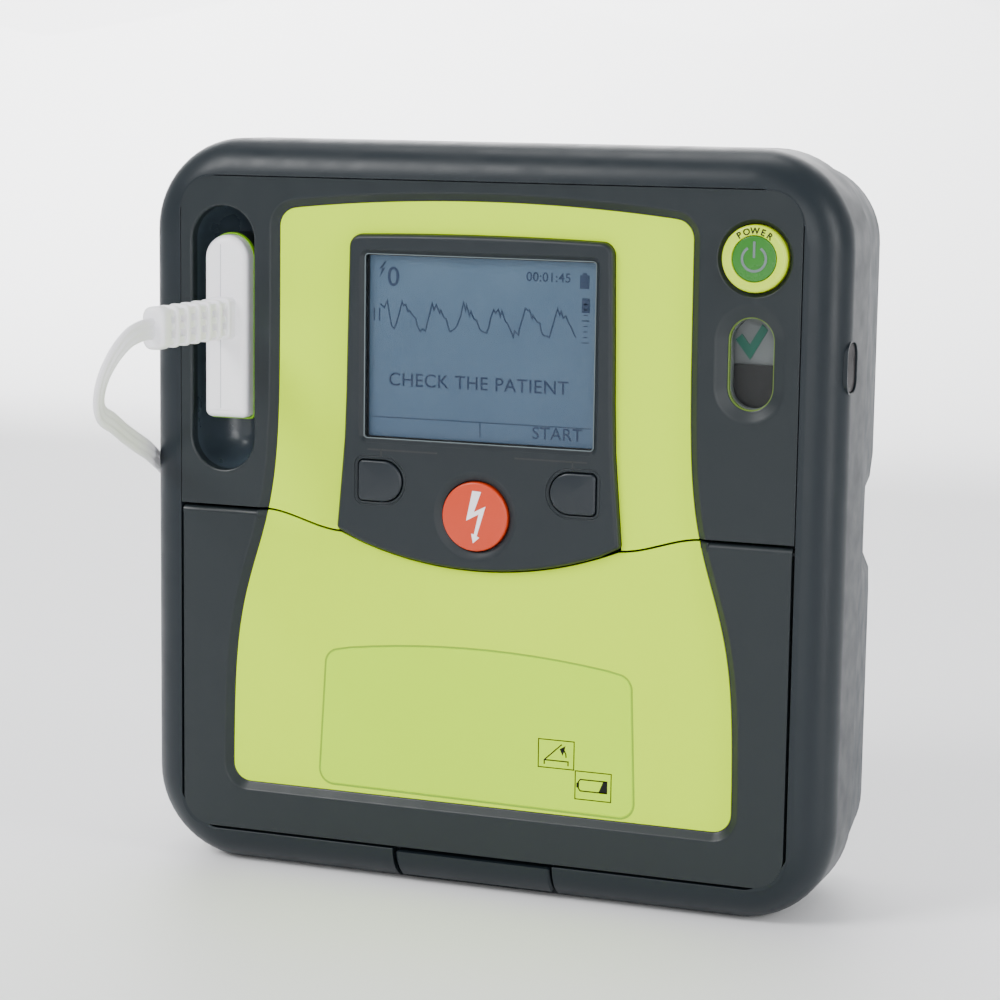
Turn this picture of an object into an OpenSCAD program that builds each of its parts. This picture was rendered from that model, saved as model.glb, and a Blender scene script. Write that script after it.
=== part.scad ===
// Portable automated external defibrillator with a hinged front cover,
// push buttons, a status window and a plug-in electrode lead.
// Origin: middle of the underside. +Z up, the face looks along -Y.

/* [Case] */
// Overall width of the case
body_w = 233; // [230:1:270]
// Overall height of the case
body_h = 239; // [236:1:275]
// Overall depth, from the power button to the rear feet
body_d = 75; // [70:1:90]
// Outer corner radius of the case
corner_r = 30; // [28:1:34]
// Radius of the round front bevel
bevel_r = 12.8; // [12:0.1:13]
// Wall of the front and rear housings
wall = 2.6; // [2.2:0.1:3]
// Depth of the front housing, from the faceplate to the parting line
front_depth = 31; // [28:1:34]
// Inward taper of the rear housing on each side
rear_taper = 5; // [2:0.5:8]
// Radius of the rear edge
rear_edge_r = 8; // [5:1:10]
// Depth of the finger scoops in the rear sides
scoop_depth = 3.5; // [2:0.5:4]
// Height that the rear feet stand proud
foot_h = 1.5; // [1:0.5:2]

/* [Face] */
// Thickness of the faceplate and of the lower cover
plate_t = 4; // [3.6:0.1:4.6]
// Corner radius of the face opening
plate_r = 11; // [8:1:14]
// Width of the frame between its edge and the face opening
frame_w = 12.8; // [12.8:0.1:13.4]
// Width of the frame above and below the face opening
frame_h = 11.8; // [11.6:0.1:12.6]
// Height of the level parts of the seam between faceplate and cover
seam_z = 120; // [112:1:124]
// Gap along the seam and around the cover
cover_gap = 0.8; // [0.6:0.1:1]
// Gap around fixed trim
trim_gap = 0.15; // [0.1:0.05:0.3]

/* [Green panels] */
// Depth of the green panels behind the faceplate
panel_drop = 2; // [1.5:0.1:2.4]
// Thickness of the green panels
panel_t = 0.8; // [0.6:0.1:1]
// Half width of the upper panel
panel_neck = 69; // [66:0.5:72]
// Half width of the lower panel near its foot
panel_base = 85.5; // [80:0.5:88]
// Height at which the panels' sides flare fastest
flare_z = 105; // [100:1:110]
// Softness of the flare
flare_k = 13.4; // [10:0.2:16]
// Radius of the panels' corners
panel_r = 6; // [4:0.5:8]

/* [Display] */
// Half width of the display bezel at its top
bezel_half = 44; // [42:0.5:46]
// Height that the bezel stands proud of the green panel
bezel_proud = 2.5; // [2:0.1:3]
// Width of the window
window_w = 79; // [74:1:82]
// Height of the window
window_h = 60.2; // [56:0.2:62]
// Height of the window's centre above the base
window_z = 174.6; // [172:0.2:177]

/* [Buttons] */
// Radius of the shock button
shock_r = 11; // [9:0.5:12]
// Height of the shock button's centre
shock_z = 122.5; // [121:0.5:124]
// Radius of the power button's ring
power_r = 10.2; // [9:0.2:11]
// Radius of the power button's core
power_core_r = 6.9; // [6:0.1:7.4]
// Width of a softkey
softkey_w = 15; // [13:0.5:16]
// Height of a softkey
softkey_h = 13; // [11:0.5:14]
// Gap round each button
button_gap = 0.35; // [0.3:0.05:0.5]
// Travel of each button
button_travel = 1; // [0.8:0.1:1.4]

/* [Side windows] */
// Width of the status lens
lens_w = 13.7; // [12:0.1:15]
// Height of the status lens
lens_h = 27.7; // [24:0.1:30]
// Width of the connector well
well_w = 22; // [21:0.5:24]
// Height of the connector well
well_h = 85.3; // [80:0.1:90]
// Depth of the connector well
well_depth = 17; // [16:0.5:20]

/* [Lead] */
// Width of the plug
plug_w = 15.2; // [14:0.2:16]
// Height of the plug
plug_h = 59; // [54:1:62]
// Length of the strain relief in front of the plug
relief_len = 49; // [44:1:52]
// Half height of the strain relief's ribs
relief_r = 6.2; // [5.5:0.1:6.5]
// Thickness of the strain relief's ribs
relief_t = 7; // [6:0.1:8]
// Width of the flat cable
cord_w = 7.2; // [6:0.2:8]
// Thickness of the flat cable
cord_t = 2.6; // [2.2:0.1:3]

/* [Hidden] */

$fn = 64;
eps = 0.01;
screw_gap = 0.3;
power_proud = 1.5;                     // the power button stands in front of the faceplate
face = body_d / 2 - power_proud;       // distances in front of the middle plane are "forward"
back = -(body_d / 2 - foot_h);         // rear wall's outer face
parting = face - front_depth;
ring_in = corner_r - bevel_r;          // corner radius where the bevel starts
ledge_front = face - plate_t - 0.6;    // ledge that the cover's seal sits on
ledge_t = 2;
ledge_w = 3.5;
half_open = body_w / 2 - frame_w;
open_lo = frame_h;
open_hi = body_h - frame_h;
mid_z = body_h / 2;

// seam between the faceplate and the cover
seam_flat = 74;                        // level outside this half width
seam_dip = 5.5;                        // drop of the seam next to the bezel
bezel_foot_half = 47;                  // half width where the bezel's bottom arc starts
bezel_foot_z = seam_z - seam_dip;
bezel_sag = 9.5;
bezel_arc_r = (pow(bezel_foot_half, 2) + pow(bezel_sag, 2)) / (2 * bezel_sag);
rib_x = 62;                            // two ribs behind the cover
rib_t = 2.4;
rib_z = 30;
rib_len = 60;
rib_h = 4;
label_t = 0.3;
label_r = 5;
label_foot = [[-54.6, 30.5], [54, 29.3]];
label_top_z = 79.6;
label_half = 52;
seal_t = 0.5;
hinge_r = plate_t / 2;                 // rounded top edge of the cover, centred on the hinge axis
hinge_f = face - hinge_r;
hinge_z = seam_z - cover_gap / 2 - hinge_r;
pin_r = 1;
pin_in = 8;                            // length of a hinge pin inside the cover
pin_out = 3.2;                         // and inside the frame

// green panels
panel_top_z = 221;
panel_top_r = 585;
panel_foot_z = 28.5;
panel_face = face - panel_drop;
pocket_face = panel_face - panel_t;
plate_back = face - plate_t;

// display
bezel_face = panel_face + bezel_proud;
bezel_top_z = 210.5;
bezel_top_sag = 0.8;
bezel_foot = 48;                       // half width above the bottom corners
window_t = 1.2;
window_face = bezel_face - 1;
bezel_back = face - 8;

// buttons
softkey_z = 131.8;
softkey_x = 40;                        // outer, straight side of a softkey
key_proud = 0.9;
key_skirt = 1;                         // flange that keeps a button behind its hole
key_len = 4.6;
dish_deep = 1;
power_x = 88.8;
power_z = 206.5;
power_dish_r = 11.7;
power_flange = 0.8;                    // flange that keeps the power button behind the faceplate
lens_x = 88;
lens_z = 174.6;
status_dish_w = 22.7;
status_dish_h = 36;
status_dish_deep = 1.2;
status_rim = 0.8;
status_back = face - 9;

// connector
well_x = -88.5;
well_z = 174.7;
well_floor = face - well_depth;
well_wall = 1.6;
plug_x = -87.6;
plug_z = 178.6;
plug_face = face + 0.5;
plug_seat = well_floor + 4;
port_wall = 1;
port_gap = 0.2;
port_face = face - 3.6;
relief_z = 181.5;
relief_edge = 0.4;                     // flat left on the narrow sides of the relief
relief_collar = 1.2;                   // growth of the base collar
relief_rib_h = 2.4;                    // the core is this much thinner than the ribs
relief_base_len = 5;
relief_tail_len = 6;
relief_ribs = 5;
relief_first_rib = 7.4;
relief_step = 7.2;
relief_rib_len = 4.6;
contact_rows = [-18:9:18];             // heights of the contacts from the plug's centre
contact_r = 1.2;
contact_len = 3;                       // reach of the pins into the plug
relief_tip = -(plug_face + relief_len);

// latch in the bottom bevel
latch_half = 26.5;
latch_z = bevel_r;
latch_f = face - bevel_r;
latch_r = bevel_r;
latch_t = 3;
latch_a0 = 8;                          // the lever's arc starts this far below the axis' level
latch_a1 = 55;
latch_travel = 15;
latch_gap_a = 5;
latch_side_gap = 1;
latch_pin_r = 1.5;
latch_pin_out = 5.5;
latch_arm_t = 3;
latch_eye_r = 2.8;
latch_block = 5;                       // width of the blocks that hold the latch's pins
hinge_boss = 8;                        // width of the bosses that hold the cover's pins

// inside
board_t = 1.6;
board_w = 188;
board_h = 190;
board_z = 115;                         // height of the main board's centre
board_screw_x = 88;
board_screw_rows = [30, 110, 200];
board_hole_r = 1.5;
board_screw_r = 1.15;
board_head_r = 2.6;
board_head_h = 1.6;
chip_h = 2.4;
chips = [[-60, 150, 18, 18], [-25, 150, 14, 14], [15, 140, 22, 16], [55, 135, 12, 20],
    [-62, 182, 16, 10], [60, 175, 20, 12], [0, 190, 26, 10]];
hv_x = 22;
hv_z = 70;
hv_w = 76;
hv_h = 90;
hv_f = -20.4;                          // front face of the high voltage board
capacitor_r = 9;
capacitor_len = 62;
capacitor_at = [-88, 23.5, 50];
transformer_size = [26, 7.4, 26];
transformer_at = [20, 13, 70];
speaker_x = 60;
speaker_z = 150;
speaker_r = 18;
speaker_h = 9;
slot_r = 0.9;                          // holes in front of the speaker
slot_step = 4;
slot_side = 3;                         // holes on each side of the middle one
microphone_r = 3;
microphone_h = 2;
microphone_z = 205;
coin_r = 10;
coin_h = 3.2;
coin_x = -40;
coin_z = 190;
flex_w = 24;
flex_t = 0.4;
flex_drop = 10;                        // below the window's centre
dome_r = 3;
dome_h = 1.2;
dome_play = 0.4;                       // clearance above a dome beyond the travel
keypad_w = 92;
keypad_h = 22;
keypad_rise = 6;
power_board = 14;
power_key_f = face - 11.5;             // back of the power button's flange
flange_t = 1.4;
lcd_t = 5;
lcd_gap = 1.2;
lcd_margin = 3;
battery_w = 96;
battery_h = 68;
battery_d = 30;
battery_z = 24;
bay_wall = 2;
bay_gap = 0.6;
bay_set_back = 2;                      // the bay's mouth behind the cover's back face
pack_slack = 1;                        // the pack is this much thinner than the bay is deep
pack_front = plate_back - 2.4;
pack_corner = 3;
pad_w = 4;                             // battery contact pads
pad_h = 10;
pad_t = 1.2;
boss_r = 4;
screw_r = 1.6;
screw_head_r = 3;
screw_x = 98;
screw_lo = 22;
screw_hi = body_h - 22;
feet_x = 80;
feet_lo = 40;
feet_hi = 195;
foot_r = 8;
main_board_f = -8;                     // front face of the main board
irda_y = -23;
irda_z = 174;
irda_w = 14;
irda_h = 16;
gasket_t = 1.2;                        // between the two housings
rear_inset = 0.6;                      // step at the parting line
scoop_z = 120;
scoop_half = 15;

// lead: the points of its centre line, then the coil
coil_x = -40;
coil_y = 99;
coil_mid_r = 38;
coil_half_band = 7.3;
coil_h = cord_w + 0.3;
coil_open = 62;                         // angle left free on top for the pads connector
cord_route = [[plug_x, relief_tip, relief_z], [-87.6, -91.5, 181.4], [-88.3, -99, 179.6],
    [-90.2, -104.5, 174.6], [-92.9, -106.5, 167.8], [-95.6, -104.5, 161], [-98, -98.5, 155.8],
    [-100, -88, 152], [-103.5, -74, 147], [-107, -60, 142.5], [-111, -46, 138.5], [-116, -32, 134.5],
    [-120.5, -18, 130], [-123.5, -3, 123], [-125.5, 12, 112], [-126, 26, 97], [-125, 38, 78],
    [-121.5, 47, 58], [-115, 53, 39], [-105, 56, 22], [-92, 57, 10.5], [-77, 57, 5], [-62, 56, 3.8],
    [-48, 55.3, 3.7]];

// a flat piece of the 2D shape, between two forward distances
module slab(f0, f1) {
    rotate([90, 0, 0])
        translate([0, 0, f0])
            linear_extrude(f1 - f0)
                children();
}

module rounded(w, h, r) {
    translate([r - w / 2, r - h / 2]) square([w - 2 * r, h - 2 * r]);
    translate([r - w / 2, -h / 2]) square([w - 2 * r, h]);
    translate([-w / 2, r - h / 2]) square([w, h - 2 * r]);
    for (x = [-1, 1])
        for (y = [-1, 1])
            translate([x * (w / 2 - r), y * (h / 2 - r)]) circle(r);
}

module capsule(w, h) {
    square([w, h - w], center = true);
    for (y = [-1, 1])
        translate([0, y * (h - w) / 2]) circle(w / 2);
}

// profile of (distance out from the corner centre, forward) swept round the case
module case_ring(profile, inset = 0) {
    w = body_w - 2 * inset;
    h = body_h - 2 * inset;
    sx = w / 2 - corner_r;
    sz = h / 2 - corner_r;
    rotate([90, 0, 0])
        translate([0, mid_z, 0]) {
            for (q = [0:3])
                rotate([0, 0, 90 * q]) {
                    a = q % 2 == 0 ? sx : sz;
                    b = q % 2 == 0 ? sz : sx;
                    translate([a, b, 0])
                        rotate_extrude(angle = 90)
                            polygon(profile);
                    translate([a, b, 0])
                        rotate([90, 0, 0])
                            linear_extrude(2 * b)
                                polygon(profile);
                }
        }
}

function arc(cx, cy, r, a0, a1, n) = [for (i = [0:n]) let (a = a0 + (a1 - a0) * i / n)
    [cx + r * cos(a), cy + r * sin(a)]];

function smooth(t) = let (u = min(max(t, 0), 1)) u * u * (3 - 2 * u);

// height of the seam at x
function seam_at(x) = abs(x) >= bezel_foot_half
    ? seam_z - seam_dip * smooth((seam_flat - abs(x)) / (seam_flat - bezel_foot_half))
    : bezel_foot_z - bezel_sag + bezel_arc_r - sqrt(pow(bezel_arc_r, 2) - x * x);

// half width of the green panels at height z
function panel_half(z) = panel_neck + (panel_base - panel_neck) / (1 + exp((z - flare_z) / flare_k));

module above_seam(gap) {
    polygon(concat([[-body_w, body_h + 50], [-body_w, seam_z + gap]],
        [for (x = [-seam_flat:4:seam_flat]) [x, seam_at(x) + gap]],
        [[seam_flat, seam_z + gap], [body_w, seam_z + gap], [body_w, body_h + 50]]));
}

module below_seam(gap) {
    polygon(concat([[-body_w, -50], [-body_w, seam_z - gap]],
        [for (x = [-seam_flat:4:seam_flat]) [x, seam_at(x) - gap]],
        [[seam_flat, seam_z - gap], [body_w, seam_z - gap], [body_w, -50]]));
}

module opening(grow = 0) {
    translate([0, (open_lo + open_hi) / 2])
        rounded(2 * (half_open + grow), open_hi - open_lo + 2 * grow, plate_r + grow);
}

// whole outline of both green panels, grown by a margin
module panels_outline(grow = 0) {
    offset(delta = grow)
        offset(r = panel_r, $fn = 40)
            offset(delta = -panel_r)
                polygon(concat(
                    [for (z = [panel_foot_z:8:panel_top_z - 5]) [panel_half(z), z]],
                    [for (x = [66:-12:-66]) [x, panel_top_z - x * x / (2 * panel_top_r)]],
                    [for (i = [floor((panel_top_z - 5 - panel_foot_z) / 8):-1:0])
                        let (z = panel_foot_z + 8 * i) [-panel_half(z), z]]));
}

module bezel_outline(grow = 0) {
    offset(delta = grow)
        offset(r = 3, $fn = 32)
            offset(delta = -3)
                polygon(concat(
                    [[bezel_foot, bezel_foot_z + 2]],
                    [for (i = [1:-0.5:-1]) [i * bezel_half, bezel_top_z - bezel_top_sag * i * i]],
                    [[-bezel_foot, bezel_foot_z + 2]],
                    [for (x = [-44:8:44]) [x, seam_at(x) + trim_gap]]));
}

module softkey_outline(grow = 0) {
    r = softkey_h / 2 + grow;
    translate([softkey_x - softkey_w + softkey_h / 2, softkey_z]) circle(r);
    translate([softkey_x - softkey_w + softkey_h / 2, softkey_z - r])
        square([softkey_w - softkey_h / 2 + grow, 2 * r]);
}

module pin_x(r, x0, x1, f, z) {
    translate([x0, -f, z])
        rotate([0, 90, 0])
            cylinder(r = r, h = x1 - x0);
}

// ---- housings ----

function front_profile() = concat(
    [[ring_in, face], [ring_in, ledge_front], [ring_in - ledge_w, ledge_front],
     [ring_in - ledge_w, ledge_front - ledge_t]],
    arc(ring_in, face - bevel_r, bevel_r - wall, 42, 0, 4),
    [[corner_r - wall, parting], [corner_r, parting]],
    arc(ring_in, face - bevel_r, bevel_r, 0, 84, 9));

module latch_sector(r0, r1, half, a0, a1) {
    translate([-half, -latch_f, latch_z])
        rotate([0, 90, 0])
            rotate([0, 0, a0 - 90])
                rotate_extrude(angle = a1 - a0)
                    translate([r0, 0]) square([r1 - r0, 2 * half]);
}

module front_housing() {
    color("#3f4a52")
    difference() {
        union() {
            case_ring(front_profile());
            for (s = [-1, 1])
                translate([s * (half_open + hinge_boss / 2) - hinge_boss / 2, -face + wall - 0.3, hinge_z - 6])
                    cube([hinge_boss, 4, 12]);
            for (s = [-1, 1])
                for (z = [screw_lo, screw_hi])
                    translate([s * screw_x, -ledge_front + 0.5, z])
                        rotate([-90, 0, 0])
                            cylinder(r = boss_r, h = ledge_front - parting - 0.5);
            for (s = [-1, 1])
                translate([s * (latch_half + latch_block) - latch_block / 2, -latch_f - 4, wall - 0.5])
                    cube([latch_block, 8, latch_z + 2.5 - wall]);
        }
        slab(ledge_front, face + 1) opening();
        for (s = [-1, 1])
            pin_x(pin_r + 0.05, s > 0 ? half_open - 1 : -half_open - pin_out - 0.3,
                s > 0 ? half_open + pin_out + 0.3 : -half_open + 1, hinge_f, hinge_z);
        latch_sector(latch_r - latch_t - 0.6, latch_r + 3, latch_half + latch_side_gap,
            latch_a0 - latch_gap_a, latch_a1 + latch_travel + latch_gap_a);
        pin_x(latch_r - latch_t + 1, -latch_half - latch_side_gap, latch_half + latch_side_gap,
            latch_f, latch_z);
        slab(parting, ledge_front + eps)
            translate([well_x, well_z])
                capsule(well_w + 2 * well_wall + 2 * trim_gap, well_h + 2 * well_wall + 2 * trim_gap);
        slab(parting, ledge_front + eps) translate([power_x, power_z]) circle(power_r + 2 * power_flange);
        pin_x(latch_pin_r + 0.05, -latch_half - 6, latch_half + 6, latch_f, latch_z);
        translate([body_w / 2 - wall - 2, irda_y - irda_w / 2 - trim_gap, irda_z - irda_h / 2 - trim_gap])
            cube([wall + 4, irda_w + 2 * trim_gap, irda_h + 2 * trim_gap]);
        for (s = [-1, 1])
            for (z = [screw_lo, screw_hi])
                translate([s * screw_x, -parting - 14, z])
                    rotate([-90, 0, 0])
                        cylinder(r = screw_r, h = 20);
    }
}

function rear_profile() = concat(
    [[corner_r - wall - rear_inset, parting - gasket_t], [corner_r - wall - rear_taper, back + rear_edge_r],
     [corner_r - rear_taper - rear_edge_r - 2, back + wall], [corner_r - rear_taper - rear_edge_r - 2, back]],
    arc(corner_r - rear_taper - rear_edge_r, back + rear_edge_r, rear_edge_r, -84, 0, 8),
    [[corner_r - rear_inset, parting - gasket_t]]);

module rear_housing() {
    rear_w = body_w - 2 * (rear_taper + rear_edge_r);
    rear_h = body_h - 2 * (rear_taper + rear_edge_r);
    color("#39434a")
    difference() {
        union() {
            case_ring(rear_profile());
            slab(back, back + wall)
                translate([0, mid_z]) rounded(rear_w - 1, rear_h - 1, corner_r - rear_taper - rear_edge_r - 0.5);
            for (s = [-1, 1])
                for (z = [screw_lo, screw_hi])
                    translate([s * screw_x, -parting + gasket_t, z])
                        rotate([-90, 0, 0])
                            cylinder(r = boss_r, h = parting - gasket_t - back);
            for (s = [-1, 1])
                translate([s * (body_w / 2 - rear_taper - 5.5) - 4.5, 8, scoop_z - 22])
                    cube([9, -back - 9.5, 44]);
            for (x = [-board_screw_x, board_screw_x])
                for (z = board_screw_rows)
                    translate([x, -main_board_f + board_t, z])
                        rotate([-90, 0, 0])
                            cylinder(r = boss_r, h = main_board_f - board_t - back);
        }
        for (s = [-1, 1]) {
            scoop_r = (pow(scoop_half, 2) + pow(scoop_depth, 2)) / (2 * scoop_depth);
            translate([s * (body_w / 2 - 2.5 - scoop_depth + scoop_r), 12, scoop_z])
                rotate([-90, 0, 0])
                    cylinder(r = scoop_r, h = 40);
        }
        for (s = [-1, 1])
            for (z = [screw_lo, screw_hi])
                translate([s * screw_x, -parting - 1, z])
                    rotate([-90, 0, 0]) {
                        cylinder(r = screw_r + 0.2, h = 60);
                        translate([0, 0, -back + parting - 8]) cylinder(r = screw_head_r + screw_gap, h = 20);
                    }
        for (x = [-board_screw_x, board_screw_x])
            for (z = board_screw_rows)
                translate([x, -main_board_f + board_t - 1, z])
                    rotate([-90, 0, 0])
                        cylinder(r = board_screw_r + 0.05, h = 9);
        for (x = [-feet_x, feet_x])
            for (z = [feet_lo, feet_hi])
                translate([x, -back - 1, z])
                    rotate([-90, 0, 0])
                        cylinder(r = foot_r + 0.1, h = 3);
        slab(back - 1, back + wall + 1)
            for (i = [-slot_side:slot_side])
                translate([speaker_x + i * slot_step, speaker_z]) circle(slot_r);
    }
}

module housing_gasket() {
    color("#15181a")
    case_ring([[corner_r - wall + 0.2, parting - gasket_t], [corner_r - wall + 0.2, parting],
        [corner_r - 1.2, parting], [corner_r - 1.2, parting - gasket_t]]);
}

module rear_feet() {
    color("#1c1f22")
    for (x = [-feet_x, feet_x])
        for (z = [feet_lo, feet_hi])
            translate([x, -back - 1, z])
                rotate([-90, 0, 0])
                    cylinder(r = foot_r, h = foot_h + 1);
}

module case_screws() {
    color("#9aa0a4")
    for (s = [-1, 1])
        for (z = [screw_lo, screw_hi])
            translate([s * screw_x, -parting - 10, z])
                rotate([-90, 0, 0]) {
                    cylinder(r = screw_r - 0.05, h = -back + parting + 1.6);
                    translate([0, 0, -back + parting + 1.4]) cylinder(r = screw_head_r, h = 2.4);
                }
}

// ---- fixed face ----

module upper_faceplate() {
    color("#3a4246")
    difference() {
        union() {
            slab(plate_back, face)
                intersection() {
                    opening(-trim_gap);
                    above_seam(cover_gap / 2);
                }
            slab(well_floor - well_wall, plate_back + eps)
                translate([well_x, well_z]) capsule(well_w + 2 * well_wall, well_h + 2 * well_wall);
        }
        slab(pocket_face, face + 1) panels_outline(trim_gap);
        slab(plate_back - 1, face + 1) bezel_outline(trim_gap);
        slab(well_floor, face + 1) translate([well_x, well_z]) capsule(well_w, well_h);
        slab(face - 9, face + 1) translate([power_x, power_z]) circle(power_r + button_gap);
        slab(face - dish_deep, face + 1) translate([power_x, power_z]) circle(power_dish_r);
        slab(face - status_dish_deep, face + 1)
            translate([lens_x, well_z - 0.7]) capsule(status_dish_w, status_dish_h);
        slab(face - 9, face + 1)
            translate([lens_x, lens_z]) capsule(lens_w + 2 * status_rim + 0.3, lens_h + 2 * status_rim + 0.3);
    }
}

module upper_green_panel() {
    color("#cbdf7a")
    slab(pocket_face, panel_face)
        difference() {
            intersection() {
                panels_outline();
                above_seam(cover_gap / 2);
            }
            bezel_outline(trim_gap);
        }
}

module display_bezel() {
    color("#333c42")
    difference() {
        slab(bezel_back, bezel_face) bezel_outline();
        slab(bezel_back - 1, bezel_face + 1)
            translate([0, window_z]) rounded(window_w - 4, window_h - 4, 1);
        slab(window_face - window_t - 0.1, bezel_face + 1)
            translate([0, window_z]) rounded(window_w, window_h, 1.5);
        slab(bezel_back - 1, window_face - window_t - 1)
            translate([0, window_z])
                square([window_w + lcd_margin + 2, window_h + lcd_margin + 2], center = true);
        slab(bezel_back - 1, bezel_face + 1) translate([0, shock_z]) circle(shock_r + button_gap);
        slab(bezel_back - 1, face - plate_t)
            translate([0, shock_z]) circle(shock_r + key_skirt + button_gap);
        for (s = [0, 1])
            mirror([s, 0, 0]) {
                slab(bezel_back - 1, bezel_face + 1) softkey_outline(button_gap);
                slab(bezel_back - 1, face - plate_t) softkey_outline(button_gap + key_skirt);
            }
    }
}

module display_window() {
    color("#8fa4b4")
    slab(window_face - window_t, window_face)
        translate([0, window_z]) rounded(window_w - 0.2, window_h - 0.2, 1.4);
}

module lcd_module() {
    color("#5f7588")
    slab(window_face - window_t - lcd_gap - lcd_t, window_face - window_t - lcd_gap)
        translate([0, window_z]) square([window_w + lcd_margin, window_h + lcd_margin], center = true);
}

module electrode_port() {
    color("#8fbf2a")
    difference() {
        slab(well_floor, port_face) translate([plug_x, plug_z]) port_outline(port_gap + port_wall);
        slab(plug_seat - 0.1, face + 1) translate([plug_x, plug_z]) port_outline(port_gap);
        for (z = contact_rows)
            translate([plug_x, -well_floor + 1, plug_z + z])
                rotate([90, 0, 0]) cylinder(r = contact_r + 0.05, h = 8);
    }
}

module port_outline(grow) {
    r = plug_w / 2 + grow;
    translate([0, plug_h / 2 - plug_w / 2]) circle(r);
    translate([-r, -plug_h / 2 - grow]) square([2 * r, plug_h - plug_w / 2 + grow]);
}

module port_contacts() {
    color("#c9a227")
    for (z = contact_rows)
        translate([plug_x, -well_floor, plug_z + z])
            rotate([90, 0, 0])
                cylinder(r = contact_r, h = plug_seat - well_floor + contact_len);
}

module status_gasket() {
    color("#c2d84e")
    slab(face - 6, face - status_dish_deep + 0.3)
        translate([lens_x, lens_z])
            difference() {
                capsule(lens_w + 2 * status_rim, lens_h + 2 * status_rim);
                capsule(lens_w + 0.1, lens_h + 0.1);
            }
}

module status_lens() {
    color("#9fb0b5", 0.4)
    slab(face - 3.4, face - status_dish_deep)
        translate([lens_x, lens_z]) capsule(lens_w, lens_h);
}

module status_card() {
    color("#6b6f70")
    slab(status_back, status_back + 1)
        translate([lens_x, lens_z]) square([lens_w + 4, lens_h + 4], center = true);
}

module status_shutter() {
    color("#1c1e20")
    slab(status_back + 1.4, status_back + 2.4)
        translate([lens_x, lens_z - lens_h / 4 - 0.2]) square([lens_w + 1, lens_h / 2 - 0.6], center = true);
}

// ---- buttons ----

module power_button_ring() {
    color("#d2e564")
    difference() {
        union() {
            slab(face - 5, face + power_proud) translate([power_x, power_z]) circle(power_r);
            slab(power_key_f, power_key_f + 2.3)
                translate([power_x, power_z]) circle(power_r + power_flange);
            slab(face - 9.5, face - 4.9) translate([power_x, power_z]) circle(power_r - 1);
        }
        slab(face - 1, face + 3) translate([power_x, power_z]) circle(power_core_r + 0.1);
    }
}

module power_button_core() {
    color("#5fa34c")
    slab(face - 0.95, face + power_proud - 0.4) translate([power_x, power_z]) circle(power_core_r);
}

module shock_button() {
    color("#de6a42")
    union() {
        slab(bezel_face - key_len, bezel_face + key_proud) translate([0, shock_z]) circle(shock_r);
        slab(bezel_face - key_len - flange_t, bezel_face - key_len + eps)
            translate([0, shock_z]) circle(shock_r + key_skirt);
    }
}

module softkey() {
    slab(bezel_face - key_len, bezel_face + key_proud) softkey_outline();
    slab(bezel_face - key_len - flange_t, bezel_face - key_len + eps) softkey_outline(key_skirt - 0.1);
}

module softkey_left() {
    color("#3d474e")
    mirror([1, 0, 0]) softkey();
}

module softkey_right() {
    color("#3d474e")
    softkey();
}

dome_f = bezel_face - key_len - flange_t - button_travel - dome_play;
power_dome_f = power_key_f - button_travel - dome_play;

module button_domes() {
    color("#8a8f93")
    for (p = [[0, shock_z], [-softkey_x + softkey_w / 2, softkey_z], [softkey_x - softkey_w / 2, softkey_z]])
        translate([p[0], -dome_f, p[1]])
            rotate([-90, 0, 0])
                cylinder(r = dome_r, h = dome_h);
    translate([power_x, -power_dome_f, power_z])
        rotate([-90, 0, 0])
            cylinder(r = dome_r, h = dome_h);
}

module keypad_board() {
    color("#2c6b3c")
    slab(dome_f - dome_h - board_t, dome_f - dome_h)
        translate([0, shock_z + keypad_rise]) square([keypad_w, keypad_h], center = true);
    color("#2c6b3c")
    slab(power_dome_f - dome_h - board_t, power_dome_f - dome_h)
        translate([power_x, power_z]) square([power_board, power_board], center = true);
}

// ---- inside ----

module main_board() {
    color("#23633a")
    difference() {
        slab(main_board_f - board_t, main_board_f)
            translate([0, board_z]) square([board_w, board_h], center = true);
        for (x = [-board_screw_x, board_screw_x])
            for (z = board_screw_rows)
                translate([x, -main_board_f - 1, z])
                    rotate([-90, 0, 0])
                        cylinder(r = board_hole_r, h = board_t + 2.4);
    }
}

module board_screws() {
    color("#a8adb0")
    for (x = [-board_screw_x, board_screw_x])
        for (z = board_screw_rows)
            translate([x, -main_board_f - board_head_h, z])
                rotate([-90, 0, 0]) {
                    cylinder(r = board_head_r, h = board_head_h);
                    cylinder(r = board_screw_r, h = 9);
                }
}

module board_components() {
    color("#1f2224")
    for (p = chips)
        slab(main_board_f, main_board_f + chip_h)
            translate([p[0], p[1]]) square([p[2], p[3]], center = true);
}

module hv_board() {
    color("#2b5f3f")
    slab(hv_f - board_t, hv_f) translate([hv_x, hv_z]) square([hv_w, hv_h], center = true);
}

module hv_capacitor() {
    color("#8b9196")
    translate(capacitor_at)
        rotate([0, 90, 0])
            cylinder(r = capacitor_r, h = capacitor_len);
}

module hv_transformer() {
    color("#b5732d")
    translate(transformer_at) cube(transformer_size);
}

module battery_bay() {
    w = battery_w + 2 * bay_gap;
    h = battery_h + 2 * bay_gap;
    color("#2a3034")
    difference() {
        slab(plate_back - bay_set_back - battery_d - bay_wall - bay_gap, plate_back - bay_set_back)
            translate([0, battery_z + battery_h / 2])
                square([w + 2 * bay_wall, h + 2 * bay_wall], center = true);
        slab(plate_back - bay_set_back - battery_d - bay_gap, plate_back)
            translate([0, battery_z + battery_h / 2]) square([w, h], center = true);
    }
}

module battery_pack() {
    color("#30353a")
    slab(pack_front - battery_d + pack_slack, pack_front)
        translate([0, battery_z + battery_h / 2]) rounded(battery_w, battery_h, pack_corner);
}

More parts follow.
